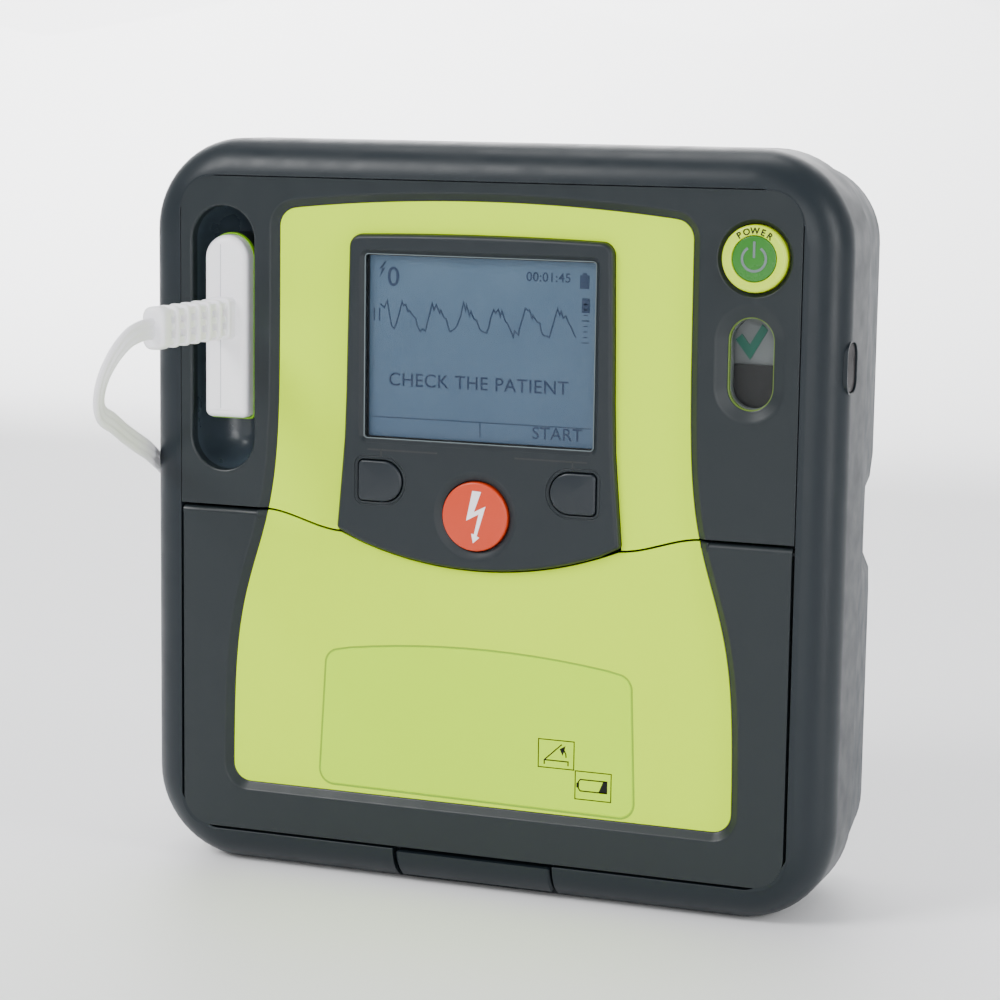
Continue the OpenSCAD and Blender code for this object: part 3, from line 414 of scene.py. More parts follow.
SEAM_FLAT, SEAM_DIP = 74.0, 5.5
FOOT_HALF, FOOT_SAG = 47.0, 9.5
FOOT_R = (FOOT_HALF ** 2 + FOOT_SAG ** 2) / (2 * FOOT_SAG)
FLARE_Z, FLARE_SOFT = 105.0, 13.4
PANEL_TOP, PANEL_TOP_R = 221.0, 585.0
PANEL_FOOT, PANEL_CORNER = 28.5, 6.0


def seam_at(x):
    seam = settings().panel.seam
    if abs(x) >= FOOT_HALF:
        return seam - SEAM_DIP * smooth((SEAM_FLAT - abs(x)) / (SEAM_FLAT - FOOT_HALF))
    return seam - SEAM_DIP - FOOT_SAG + FOOT_R - math.sqrt(FOOT_R ** 2 - x * x)


def panel_half(z):
    panel = settings().panel
    return panel.neck + (panel.base - panel.neck) / (1 + math.exp((z - FLARE_Z) / FLARE_SOFT))


def fillet(a, b, c, r, steps=8):
    """Rounds the corner b between a and c."""
    u = Vector((a[0] - b[0], a[1] - b[1])).normalized()
    v = Vector((c[0] - b[0], c[1] - b[1])).normalized()
    half = u.angle(v) / 2
    reach = r / math.tan(half)
    centre = Vector(b) + (u + v).normalized() * (r / math.sin(half))
    start, end = Vector(b) + u * reach - centre, Vector(b) + v * reach - centre
    turn = math.atan2(start.x * end.y - start.y * end.x, start.dot(end))
    out = []
    for i in range(steps + 1):
        s, k = math.sin(turn * i / steps), math.cos(turn * i / steps)
        out.append((centre.x + start.x * k - start.y * s, centre.y + start.x * s + start.y * k))
    return out


def panel_top(side):
    """Corner of the upper panel on one side, from the side edge to the top edge."""
    z = 217.0
    corner = (side * panel_half(z), PANEL_TOP - panel_half(z) ** 2 / (2 * PANEL_TOP_R))
    return fillet((side * panel_half(200), 200), corner,
                  (side * 50, PANEL_TOP - 2500 / (2 * PANEL_TOP_R)), PANEL_CORNER)


def panel_side(side, z0, z1, step=2.0):
    count = max(2, int(abs(z1 - z0) / step))
    return [(side * panel_half(z0 + (z1 - z0) * i / count), z0 + (z1 - z0) * i / count)
            for i in range(count + 1)]


def top_edge(x0, x1, step=4.0):
    count = max(2, int(abs(x1 - x0) / step))
    return [(x0 + (x1 - x0) * i / count, PANEL_TOP - (x0 + (x1 - x0) * i / count) ** 2 / (2 * PANEL_TOP_R))
            for i in range(count + 1)]


def panel_foot(side):
    corner = (side * panel_half(PANEL_FOOT), PANEL_FOOT)
    return fillet((side * panel_half(50), 50), corner, (side * 40, PANEL_FOOT), PANEL_CORNER)


def upper_pocket(z):
    """Panel edge from the left foot over the top to the right foot, starting at height z."""
    left, right = panel_top(-1), panel_top(1)
    return (panel_side(-1, z, left[0][1] - 1) + left + top_edge(left[-1][0] + 2, -left[-1][0] - 2)
            + right[::-1] + panel_side(1, right[0][1] - 1, z))


def lower_pocket(z):
    """Panel edge from the left top down round the foot and up to the right top."""
    left, right = panel_foot(-1), panel_foot(1)
    return (panel_side(-1, z, left[0][1] + 1) + left + [(0, PANEL_FOOT)] + right[::-1]
            + panel_side(1, right[0][1] + 1, z))


def arch_outline():
    """The upper panel's shape: the pocket's edge, then back round the bezel."""
    gap = GAP / 4
    edge = upper_pocket(settings().panel.seam + gap)
    bezel = bezel_outline(0.05)
    turn = [p for p in bezel if p[1] > seam_at(p[0]) + 1.2]
    right = max(range(len(turn)), key=lambda i: turn[i][0] - turn[i][1])
    turn = turn[right:] + turn[:right]
    start, end = turn[0], turn[-1]
    return (edge + seam_line(edge[-1][0], start[0], gap)[1:] + turn
            + seam_line(end[0], edge[0][0], gap)[:-1])


def seam_line(x0, x1, gap, step=2.0):
    count = max(2, int(abs(x1 - x0) / step))
    return [(x0 + (x1 - x0) * i / count, seam_at(x0 + (x1 - x0) * i / count) + gap)
            for i in range(count + 1)]


def stroke(points, width):
    """Outline of an open line of one width, with mitred corners and square ends."""
    left, right = [], []
    for i, p in enumerate(points):
        p = Vector(p)
        before = (p - Vector(points[i - 1])).normalized() if i else None
        after = (Vector(points[i + 1]) - p).normalized() if i + 1 < len(points) else None
        way = (before or after) + (after or before)
        way.normalize()
        normal = Vector((-way.y, way.x))
        reach = width / 2 / max(0.35, normal.dot(Vector((-(after or before).y, (after or before).x))))
        left.append(tuple(p + normal * reach))
        right.append(tuple(p - normal * reach))
    return left + right[::-1]


# ---------------------------------------------------------------- meshes

def area_of(points):
    return sum(a[0] * b[1] - b[0] * a[1] for a, b in zip(points, points[1:] + points[:1])) / 2


def inset(points, distances):
    """Moves each edge of a closed outline inwards by its own distance."""
    sign = 1 if area_of(points) > 0 else -1
    count = len(points)
    if not hasattr(distances, "__len__"):
        distances = [distances] * count
    moved = []
    for i in range(count):
        a, b, c = Vector(points[i - 1]), Vector(points[i]), Vector(points[(i + 1) % count])
        e0, e1 = (b - a).normalized(), (c - b).normalized()
        n0, n1 = Vector((-e0.y, e0.x)) * sign, Vector((-e1.y, e1.x)) * sign
        d0, d1 = distances[i - 1], distances[i]
        cross = e0.x * e1.y - e0.y * e1.x
        if abs(cross) < 0.02:
            moved.append(tuple(b + (n0 + n1).normalized() * (d0 + d1) / 2))
            continue
        p, q = b + n0 * d0, b + n1 * d1
        t = ((q - p).x * e1.y - (q - p).y * e1.x) / cross
        moved.append(tuple(p + e0 * t))
    return moved


def round_edge(r, front, back, steps=4, foot=0.0):
    """Edge profile of (inset, forward): a quarter round at the front, straight to the back."""
    angles = [math.radians(90 * i / steps) for i in range(steps + 1)]
    edge = [(r * (1 - math.sin(a)), front - r * (1 - math.cos(a))) for a in angles]
    return edge + ([(0.0, back + foot), (foot, back)] if foot else [(0.0, back)])


def place(x, forward, z):
    return (x * MM, -forward * MM, z * MM)


def plate(outer, profile, holes=()):
    """A closed plate from flat outlines, whose edges follow a profile of (inset, forward) from front to back.

    The outer outline may come with each edge's share of the inset, and a hole is (outline, profile)."""
    shell = bmesh.new()
    shares = None
    if isinstance(outer, tuple):
        outer, shares = outer
    loops = [(outer, profile, 1, shares)] + [(points, edge, -1, None) for points, edge in holes]
    caps = ([], [])
    for points, edge, way, share in loops:
        rings = []
        for distance, forward in edge:
            by = [distance * way * s for s in share] if share else distance * way
            flat = inset(points, by) if distance else points
            rings.append([shell.verts.new(place(x, forward, z)) for x, z in flat])
        for a, b in zip(rings, rings[1:]):
            for i in range(len(a)):
                j = (i + 1) % len(a)
                shell.faces.new((a[i], a[j], b[j], b[i]))
        caps[0].append(rings[0])
        caps[1].append(rings[-1])
    for rings in caps:
        verts = [v for ring in rings for v in ring]
        flat = [[Vector((v.co.x, v.co.z, 0)) for v in ring] for ring in rings]
        for tri in geometry.tessellate_polygon(flat):
            shell.faces.new([verts[i] for i in tri])
    return shell


def loft(loops, closed=True, caps=True):
    """Skins a list of equal loops of 3D points in metres."""
    shell = bmesh.new()
    rings = [[shell.verts.new(p) for p in loop] for loop in loops]
    pairs = list(zip(rings, rings[1:] + rings[:1])) if closed else list(zip(rings, rings[1:]))
    for a, b in pairs:
        for i in range(len(a)):
            j = (i + 1) % len(a)
            shell.faces.new((a[i], a[j], b[j], b[i]))
    if not closed and caps:
        shell.faces.new(rings[0])
        shell.faces.new(rings[-1][::-1])
    return shell


def flat_loop(points, forward):
    return [place(x, forward, z) for x, z in points]


def turned(profile, centre, axis, steps=64):
    """A solid of revolution: profile is (distance along the axis, radius) in mm from end to end."""
    axis = Vector(axis).normalized()
    side = axis.orthogonal().normalized()
    other = axis.cross(side)
    turns = [2 * math.pi * k / steps for k in range(steps)]
    loops = []
    for along, r in profile:
        base = Vector(centre) + axis * along
        loops.append([(base + (side * math.cos(a) + other * math.sin(a)) * r) * MM for a in turns])
    return loft(loops, closed=False)


def merged(*shells):
    """Joins closed shells into one mesh."""
    whole = bmesh.new()
    for shell in shells:
        part = bpy.data.meshes.new("part")
        bmesh.ops.recalc_face_normals(shell, faces=shell.faces[:])
        shell.to_mesh(part)
        shell.free()
        whole.from_mesh(part)
        bpy.data.meshes.remove(part)
    return whole


def piece(name, shell, material, body, replaces=(), sharp=32.0):
    """Turns a shell into a finished piece that rides on a body."""
    mesh = bpy.data.meshes.new(name)
    bmesh.ops.remove_doubles(shell, verts=shell.verts[:], dist=1e-6)
    bmesh.ops.recalc_face_normals(shell, faces=shell.faces[:])
    shell.to_mesh(mesh)
    shell.free()
    return dress(name, mesh, material, body, replaces, sharp)


def dress(name, mesh, material, body, replaces=(), sharp=32.0):
    mesh.materials.clear()
    mesh.materials.append(material)
    mesh.polygons.foreach_set("use_smooth", [True] * len(mesh.polygons))
    mesh.set_sharp_from_angle(angle=math.radians(sharp))
    item = bpy.data.objects.new(name, mesh)
    bpy.context.scene.collection.objects.link(item)
    weight = item.modifiers.new("Even shading", "WEIGHTED_NORMAL")
    weight.keep_sharp = True
    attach(item, body)
    if replaces:
        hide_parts(*replaces)
    return item


def paint(name, material):
    """Gives a CAD node its finish."""
    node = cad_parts[name]
    node.data.materials.clear()
    node.data.materials.append(material)


def carved(shell, *cutters):
    """Cuts closed shells out of a closed shell."""
    def as_object(part):
        mesh = bpy.data.meshes.new("carve")
        bmesh.ops.remove_doubles(part, verts=part.verts[:], dist=1e-6)
        bmesh.ops.recalc_face_normals(part, faces=part.faces[:])
        part.to_mesh(mesh)
        part.free()
        item = bpy.data.objects.new("carve", mesh)
        bpy.context.scene.collection.objects.link(item)
        return item
    block = as_object(shell)
    tools = [as_object(c) for c in cutters]
    for tool in tools:
        cut = block.modifiers.new("cut", "BOOLEAN")
        cut.operation = "DIFFERENCE"
        cut.solver = "EXACT"
        cut.object = tool
    result = bpy.data.meshes.new_from_object(block.evaluated_get(bpy.context.evaluated_depsgraph_get()))
    out = bmesh.new()
    out.from_mesh(result)
    for item in [block] + tools:
        bpy.data.objects.remove(item)
    return out


def lettering(name, words, x, forward, z, height, turn=0.0, centre=(0, 0), spread=1.0, weight=0.0):
    """Flat lettering made into a thin solid mesh."""
    text = bpy.data.curves.new(name, "FONT")
    text.body = words
    text.size = height * MM * 1.4
    text.align_x = "CENTER"
    text.extrude = 0.02 * MM
    text.offset = weight * MM
    text.space_character = spread
    item = bpy.data.objects.new(name, text)
    bpy.context.scene.collection.objects.link(item)
    mesh = bpy.data.meshes.new_from_object(item.evaluated_get(bpy.context.evaluated_depsgraph_get()))
    bpy.data.objects.remove(item)
    spot = Matrix.Translation(place(x, forward, z)) @ Matrix.Rotation(math.radians(90), 4, "X")
    if turn:
        spin = Matrix.Rotation(math.radians(turn), 4, "Y")
        hub = Matrix.Translation(place(centre[0], forward, centre[1]))
        spot = hub @ spin @ hub.inverted() @ spot
    mesh.transform(spot)
    return mesh


def joined(name, meshes, material, body):
    whole = bmesh.new()
    for mesh in meshes:
        whole.from_mesh(mesh)
    return piece(name, whole, material, body)


def repeat_tree(name, material):
    """Geometry Nodes: copies a piece along a line, then makes it one mesh with one material."""
    tree = bpy.data.node_groups.new(name, "GeometryNodeTree")
    for socket, kind in (("Piece", "Geometry"), ("Count", "Int"), ("Step", "Vector")):
        tree.interface.new_socket(socket, in_out="INPUT", socket_type="NodeSocket" + kind)
    tree.interface.new_socket("Result", in_out="OUTPUT", socket_type="NodeSocketGeometry")
    given = add(tree, "NodeGroupInput").outputs
    line = add(tree, "GeometryNodeMeshLine", {"Count": given["Count"], "Offset": given["Step"]},
               mode="OFFSET")
    copies = add(tree, "GeometryNodeInstanceOnPoints",
                 {"Points": line.outputs["Mesh"], "Instance": given["Piece"]})
    real = add(tree, "GeometryNodeRealizeInstances", {"Geometry": copies.outputs["Instances"]})
    dressed = add(tree, "GeometryNodeSetMaterial", {"Geometry": real.outputs["Geometry"]},
                  in_Material=material)
    add(tree, "NodeGroupOutput", {"Result": dressed.outputs["Geometry"]})
    return tree


def repeated(name, shell, count, step, material, body, replaces=()):
    """One piece copied along a line by Geometry Nodes, then made a plain mesh."""
    mesh = bpy.data.meshes.new(name)
    bmesh.ops.recalc_face_normals(shell, faces=shell.faces[:])
    shell.to_mesh(mesh)
    shell.free()
    item = bpy.data.objects.new(name, mesh)
    bpy.context.scene.collection.objects.link(item)
    tree = repeat_tree(name + "_row", material)
    row = item.modifiers.new("Row", "NODES")
    row.node_group = tree
    ids = {s.name: s.identifier for s in tree.interface.items_tree if s.in_out == "INPUT"}
    row[ids["Count"]] = count
    row[ids["Step"]] = [c * MM for c in step]
    result = bpy.data.meshes.new_from_object(item.evaluated_get(bpy.context.evaluated_depsgraph_get()))
    bpy.data.objects.remove(item)
    return dress(name, result, material, body, replaces)


# ---------------------------------------------------------------- the stage

CAMERA_MM = (313.08, -832.18, 252.98)
VIEW_AZIMUTH, VIEW_ELEVATION, VIEW_ROLL = 20.57, 8.52, 0.862
LENS = 98.97
SHIFT = (-0.018, 0.0099)


# Name, place in metres, size in metres and power in watts. The side lamp is a tall strip, which draws the bright
# line down the right bevel, and the backdrop lamps face away from the object.
LAMPS = (("key", (-1.1, -1.3, 1.5), 0.8, 40.0), ("fill", (0.5, -1.8, 0.5), 1.0, 14.0),
         ("top", (-0.2, 0.3, 1.7), 0.8, 10.0), ("side", (1.4, -0.36, 0.45), 0.25, 12.0),
         ("backdrop_left", (-1.3, 1.2, 1.3), 1.4, 75.0), ("backdrop_mid", (-0.5, 1.2, 1.3), 1.4, 40.0))
BACKDROP_AIM, BODY_AIM = (3.0, 0.9), (0, 0, 0.12)
STRIP_HEIGHT = 1.1
FLOOR_HALF, FLOOR_FRONT, SWEEP_START, SWEEP_R, WALL_TOP = 4.0, -2.5, 1.2, 1.0, 4.0
WORLD_LIGHT = 0.62


class DEFIB_OT_stage(bpy.types.Operator):
    """Pale floor, soft studio light and the camera"""
    bl_idname = "defib.stage"
    bl_label = "Stage"

    def execute(self, context):
        scene = context.scene
        azimuth, elevation, roll = (math.radians(a) for a in (VIEW_AZIMUTH, VIEW_ELEVATION, VIEW_ROLL))
        away = Vector((math.sin(azimuth) * math.cos(elevation), -math.cos(azimuth) * math.cos(elevation),
                       math.sin(elevation)))
        right = (-away).cross(Vector((0, 0, 1))).normalized()
        up = right.cross(-away)
        c, s = math.cos(roll), math.sin(roll)
        right, up = right * c + up * s, up * c - right * s
        data = bpy.data.cameras.new("camera")
        data.lens = LENS
        data.shift_x, data.shift_y = SHIFT
        data.clip_start = 0.01
        camera = bpy.data.objects.new("camera", data)
        turn = Matrix((right, up, away)).transposed().to_4x4()
        camera.matrix_world = Matrix.Translation(Vector(CAMERA_MM) * MM) @ turn
        scene.collection.objects.link(camera)
        scene.camera = camera
        floor, tree, bsdf = new_material("floor_paper_white", linear("#F4F4F5"), 0.55)
        place_ = add(tree, "ShaderNodeTexCoord").outputs["Object"]
        fibre = add(tree, "ShaderNodeTexNoise", {"Vector": place_}, in_Scale=900.0)
        bump = add(tree, "ShaderNodeBump", {"Height": fibre.outputs["Fac"]}, in_Strength=0.05,
                   in_Distance=0.0001)
        tree.links.new(bump.outputs["Normal"], bsdf.inputs["Normal"])
        sweep = bmesh.new()
        bend = [math.radians(a) for a in range(6, 91, 6)]
        profile = [(FLOOR_FRONT, 0.0), (SWEEP_START, 0.0)]
        profile += [(SWEEP_START + math.sin(a) * SWEEP_R, SWEEP_R - math.cos(a) * SWEEP_R) for a in bend]
        profile += [(SWEEP_START + SWEEP_R, WALL_TOP)]
        rows = [[sweep.verts.new((x, y, z)) for y, z in profile] for x in (-FLOOR_HALF, FLOOR_HALF)]
        for i in range(len(profile) - 1):
            sweep.faces.new((rows[0][i], rows[1][i], rows[1][i + 1], rows[0][i + 1]))
        mesh = bpy.data.meshes.new("floor")
        sweep.to_mesh(mesh)
        sweep.free()
        mesh.materials.append(floor)
        mesh.polygons.foreach_set("use_smooth", [True] * len(mesh.polygons))
        ground = bpy.data.objects.new("floor", mesh)
        scene.collection.objects.link(ground)
        world = bpy.data.worlds.new("studio")
        world.use_nodes = True
        back = world.node_tree.nodes["Background"]
        back.inputs["Color"].default_value = (0.95, 0.97, 1.0, 1.0)
        back.inputs["Strength"].default_value = WORLD_LIGHT
        scene.world = world
        for name, spot, size, power in LAMPS:
            lamp = bpy.data.lights.new(name, "AREA")
            lamp.size = size
            lamp.energy = power
            if name == "side":
                lamp.shape = "RECTANGLE"
                lamp.size_y = STRIP_HEIGHT
            item = bpy.data.objects.new(name, lamp)
            aim = Vector((spot[0], *BACKDROP_AIM) if name.startswith("backdrop") else BODY_AIM)
            item.matrix_world = Matrix.Translation(spot) @ (
                Vector(spot) - aim).to_track_quat("Z", "Y").to_matrix().to_4x4()
            scene.collection.objects.link(item)
        return {"FINISHED"}


# ---------------------------------------------------------------- the lead

PLUG_LO, PLUG_HI = node_box("plug_body")
RELIEF_LO, RELIEF_HI = node_box("strain_relief")
COIL_LO, COIL_HI = node_box("cord_coil")
COIL_X, COIL_Y = (COIL_LO[0] + COIL_HI[0]) / 2, (COIL_LO[1] + COIL_HI[1]) / 2
PLUG_X = (PLUG_LO[0] + PLUG_HI[0]) / 2
RELIEF_Z = (RELIEF_LO[2] + RELIEF_HI[2]) / 2
RELIEF_TIP = RELIEF_LO[1]
LEAD_ROUTE = [(PLUG_X, RELIEF_TIP, RELIEF_Z), (-87.6, -91.5, 181.4), (-88.3, -99, 179.6),
              (-90.2, -104.5, 174.6), (-92.9, -106.5, 167.8), (-95.6, -104.5, 161), (-98, -98.5, 155.8),
              (-100, -88, 152), (-103.5, -74, 147), (-107, -60, 142.5), (-111, -46, 138.5),
              (-116, -32, 134.5), (-120.5, -18, 130), (-123.5, -3, 123), (-125.5, 12, 112),
              (-126, 26, 97), (-125, 38, 78), (-121.5, 47, 58), (-115, 53, 39), (-105, 56, 22),
              (-92, 57, 10.5), (-77, 57, 5), (-62, 56, 3.8), (-48, 55.3, 3.7)]
COIL_OUTER, COIL_PITCH, COIL_TURNS = 44.0, 3.0, 3
LOWER_Z, UPPER_Z = 3.65, 11.2
CONNECTOR_X, CONNECTOR_RISE = COIL_X + 38, 4.5
CONNECTOR_TAIL = [(13.6, -35.5, 11.2), (22, -35.5, 11.4), (29.5, -32.5, 11.7), (35, -27.5, 12.0),
                  (38, -21, 12.0)]


def catmull(points, steps):
    out = []
    n = len(points) - 1
    for i in range(n):
        a, b, c, d = (Vector(points[max(i - 1, 0)]), Vector(points[i]), Vector(points[i + 1]),
                      Vector(points[min(i + 2, n)]))
        for k in range(steps):
            t = k / steps
            out.append(0.5 * (2 * b + (c - a) * t + (2 * a - 5 * b + 4 * c - d) * t * t
                              + (3 * b - a - 3 * c + d) * t ** 3))
    return out + [Vector(points[-1])]


def coil_path():
    """Turns on the surface, a rise inside them, then one turn on top that runs into the connector."""
    points = []
    for deg in range(0, 360 * COIL_TURNS + 1, 6):
        points.append((deg - 90, COIL_OUTER - COIL_PITCH * deg / 360, LOWER_Z))
    inner = COIL_OUTER - COIL_PITCH * COIL_TURNS
    for deg in range(6, 381, 6):
        rise = smooth(deg / 80)
        drift = inner - 4 * smooth(deg / 80) + 7 * smooth((deg - 90) / 150)
        points.append((deg - 90, drift, LOWER_Z + (UPPER_Z - LOWER_Z) * rise))
    ring = [Vector((COIL_X + r * math.cos(math.radians(a)), COIL_Y + r * math.sin(math.radians(a)), z))
            for a, r, z in points]
    tail = catmull([tuple(ring[-2])] + [tuple(ring[-1])]
                   + [(COIL_X + x, COIL_Y + y, z) for x, y, z in CONNECTOR_TAIL[1:]], 4)
    return ring[:-1] + tail[4:]


def ribbon(path, sides, lead):
    """Sweeps the cable's three-ridged section along a path."""
    section = []
    count = 40
    for k in range(count):
        a = 2 * math.pi * k / count
        across = math.cos(a)
        ridge = 0.52 + 0.38 * abs(math.cos(1.5 * math.pi * across))
        section.append((across * lead.width / 2 * 0.915, math.copysign(abs(math.sin(a)) ** 0.6, math.sin(a))
                        * lead.thickness / 2 * ridge))
    loops = []
    for i, p in enumerate(path):
        t = (path[min(i + 1, len(path) - 1)] - path[max(i - 1, 0)]).normalized()
        w = (sides[i] - t * sides[i].dot(t)).normalized()
        u = t.cross(w)
        loops.append([(p + w * a + u * b) * MM for a, b in section])
    return loft(loops, closed=False)


class DEFIB_OT_lead(bpy.types.Operator):
    """Electrode lead: plug, strain relief, flat cable, its coil, ties and the pads connector"""
    bl_idname = "defib.lead"
    bl_label = "Electrode lead"

    def execute(self, context):
        lead = settings().lead
        free = catmull(LEAD_ROUTE, 6)
        sides = []
        for i in range(len(free)):
            n = len(free) - 1
            t = (free[min(i + 1, n)] - free[max(i - 1, 0)]).normalized()
            lay = smooth((i / n - 0.84) / 0.14)
            sides.append(t.cross(Vector((1, 0, 0))) * (1 - lay) + Vector((0, 0, -1)) * lay)
        turns = coil_path()
        path = free + turns
        sides += [Vector((0, 0, -1))] * len(turns)
        cord = piece("lead_cable", ribbon(path, sides, lead), finish("pvc_cable_white"), "lead",
                     ("cord_tube", "cord_coil"), sharp=60)
        white = finish("pvc_white_moulding")
        self.plug(white)
        relief = self.relief(white)
        connector = self.connector(white)
        ties = self.ties()
        return {"FINISHED"}

    def plug(self, white):
        half = (PLUG_HI[0] - PLUG_LO[0]) / 2
        face, seat = -PLUG_LO[1], -PLUG_HI[1]
        top, foot = PLUG_HI[2], PLUG_LO[2]
        outline = (arc(PLUG_X, top - half, half, 0, 180, 24)
                   + arc(PLUG_X - half + 2.2, foot + 2.2, 2.2, 180, 270, 6)
                   + arc(PLUG_X + half - 2.2, foot + 2.2, 2.2, 270, 360, 6))
        body = plate(outline, round_edge(2.6, face, seat, 7, foot=0.4))
        piece("plug_shell", body, white, "lead", ("plug_body",))
        seam = plate(stroke([(PLUG_X - 1.4, foot + 3.0), (PLUG_X - 1.4, top - 3.0)], 0.25),
                     [(0.0, face + 0.06), (0.0, face - 0.3)])
        piece("plug_mould_line", seam, finish("pvc_mould_line_grey"), "lead")

    def relief(self, white):
        """Flat strain relief: collar, ribs with three bars between them, and a rounded tail."""
        face, tall = -PLUG_LO[1], RELIEF_HI[2] - RELIEF_LO[2]
        wide = RELIEF_HI[0] - RELIEF_LO[0]
        reach = -RELIEF_TIP - face

        def sleeve(w, h, r, start, length, edge):
            end = start + length
            steps = [(start, edge), (start + edge * 0.3, edge * 0.35), (start + edge, 0.0), (end - edge, 0.0),
                     (end - edge * 0.3, edge * 0.35), (end, edge)]
            rings = []
            for along, loss in steps:
                outline = rounded_rect(w - 2 * loss, h - 2 * loss, r - loss * 0.8, RELIEF_Z, 5, cx=PLUG_X)
                rings.append(flat_loop(outline, face + along))
            return loft(rings, closed=False)
        shells = [sleeve(2.8, tall - 3.8, 1.2, -0.5, reach, 0.2), sleeve(wide, tall, 1.9, -0.5, 5.2, 0.7),
                  sleeve(wide - 0.3, tall - 0.3, 3.0, reach - 6.6, 6.5, 1.5)]
        for lift in (-4.3, 0.0, 4.3):
            bar = rounded_rect(5.6, 2.5, 0.7, RELIEF_Z + lift, 4, cx=PLUG_X)
            shells.append(loft([flat_loop(bar, face + 2), flat_loop(bar, face + reach - 4)], closed=False))
        relief = piece("strain_relief_core", merged(*shells), white, "lead", ("strain_relief",),
                       sharp=50)
        rib = sleeve(wide - 0.3, tall - 0.6, 2.0, 8.2, 2.7, 0.9)
        repeated("strain_relief_ribs", rib, 5, (0, -7.2, 0), white, "lead")
        return relief

    def connector(self, white):
        """Connector for the electrode pads: a housing with a stepped mouth, and a sleeve round the cable."""
        low, high = node_box("pads_connector")
        cx, cz = CONNECTOR_X, low[2] + CONNECTOR_RISE

        def block(*sections):
            rings = [[Vector((cx + x, y, cz + z)) * MM for x, z in rounded_rect(w, h, r, 0, 5)]
                     for y, w, h, r in sections]
            return loft(rings, closed=False)
        near, far = low[1], high[1]
        housing = block((near + 6.6, 9, 5.4, 1.8), (near + 7.4, 13.2, 7.6, 2.4), (near + 9.5, 15, 9, 2.6),
                        (far - 9, 15, 9, 2.6), (far - 8.4, 14, 8, 2.2), (far - 1.2, 14, 8, 2.2),
                        (far, 12.6, 6.8, 1.8))
        sleeve = block((near, 7.6, 4.4, 1.4), (near + 1.2, 8, 7.4, 2), (near + 7.6, 8, 8, 2))
        return piece("pads_connector_shell", merged(housing, sleeve), white, "lead", ("pads_connector",))

    def ties(self):
        """Two straps of tape round the coil."""
        shells = []
        inner, outer, top = 29.3, 46.2, 15.9
        half, tape = 4.9, 0.9
        centre = Vector((COIL_X, COIL_Y, 0))
        for turn in (80, 200):
            a = math.radians(turn)
            radial, along = Vector((math.cos(a), math.sin(a), 0)), Vector((-math.sin(a), math.cos(a), 0))

            def section(across, loss, r):
                ring = rounded_rect(outer - inner - 2 * loss, top - 2 * loss, r, top / 2 + 0.05, 5,
                                    cx=(inner + outer) / 2)
                return [tuple((centre + radial * x + along * across + Vector((0, 0, z))) * MM) for x,
                        z in ring]
            outside = [section(-half, 0.25, 1.6), section(0.3 - half, 0.0, 1.6),
                       section(half - 0.3, 0.0, 1.6),
                       section(half, 0.25, 1.6)]
            inside = [section(half, tape, 1.0), section(-half, tape, 1.0)]
            shells.append(loft(outside + inside, closed=True))
        return piece("coil_ties", merged(*shells), finish("nylon_tape_black"), "lead", ("cord_tie",))


# ---------------------------------------------------------------- casings

FRAME_W, FRAME_H, PLATE_R = 12.8, 11.8, 11.0
PLATE_T, WALL = 4.0, 2.6
GAP, TRIM = 0.8, 0.15
OPEN_HALF = BODY_W / 2 - FRAME_W
OPEN_H = BODY_H - 2 * FRAME_H
LEDGE = FACE - PLATE_T - 0.6
LATCH_HALF, LATCH_Z = 26.5, 12.8


def ring(half_loss, r, forward, side=24):
    """A rounded square set in from the case's outline."""
    outline = rounded_rect(BODY_W - 2 * half_loss, BODY_H - 2 * half_loss, r, MID_Z, 14, side)
    return flat_loop(outline, forward)


def opening_ring(grow, forward, side=24):
    """The opening that holds the faceplate and the cover, made larger all round."""
    outline = rounded_rect(2 * (OPEN_HALF + grow), OPEN_H + 2 * grow, PLATE_R + grow, MID_Z, 14, side)
    return flat_loop(outline, forward)


def side_block(w, h, r, cy, cz, steps):
    """A block that stands out sideways: rounded outlines at each x, set in by its own amount."""
    rings = []
    for x, loss in steps:
        outline = rounded_rect(w - 2 * loss, h - 2 * loss, r - loss, cz, 8, cx=cy)
        rings.append([Vector((x, y, z)) * MM for y, z in outline])
    return rings


def sector(r0, r1, half, a0, a1, steps=16, edge=0.0):
    """Part of a ring round the latch's axis; angles are below the forward direction."""
    f0 = FACE - settings().case.bevel_r
    angles = [a0 + (a1 - a0) * i / steps for i in range(steps + 1)]
    outline = [(r1, a) for a in angles] + [(r0, a) for a in reversed(angles)]
    loops = []
    spans = ((-half, edge), (-half + edge, 0.0), (half - edge, 0.0), (half, edge)) if edge else (
        (-half, 0.0), (half, 0.0))
    for x, shrink in spans:
        points = []
        for r, a in outline:
            r = r - shrink if r == r1 else r
            a = math.radians(min(max(a, a0 + shrink * 3), a1 - shrink * 3))
            points.append(place(x, f0 + r * math.cos(a), LATCH_Z - r * math.sin(a)))
        loops.append(points)
    return loft(loops, closed=False)


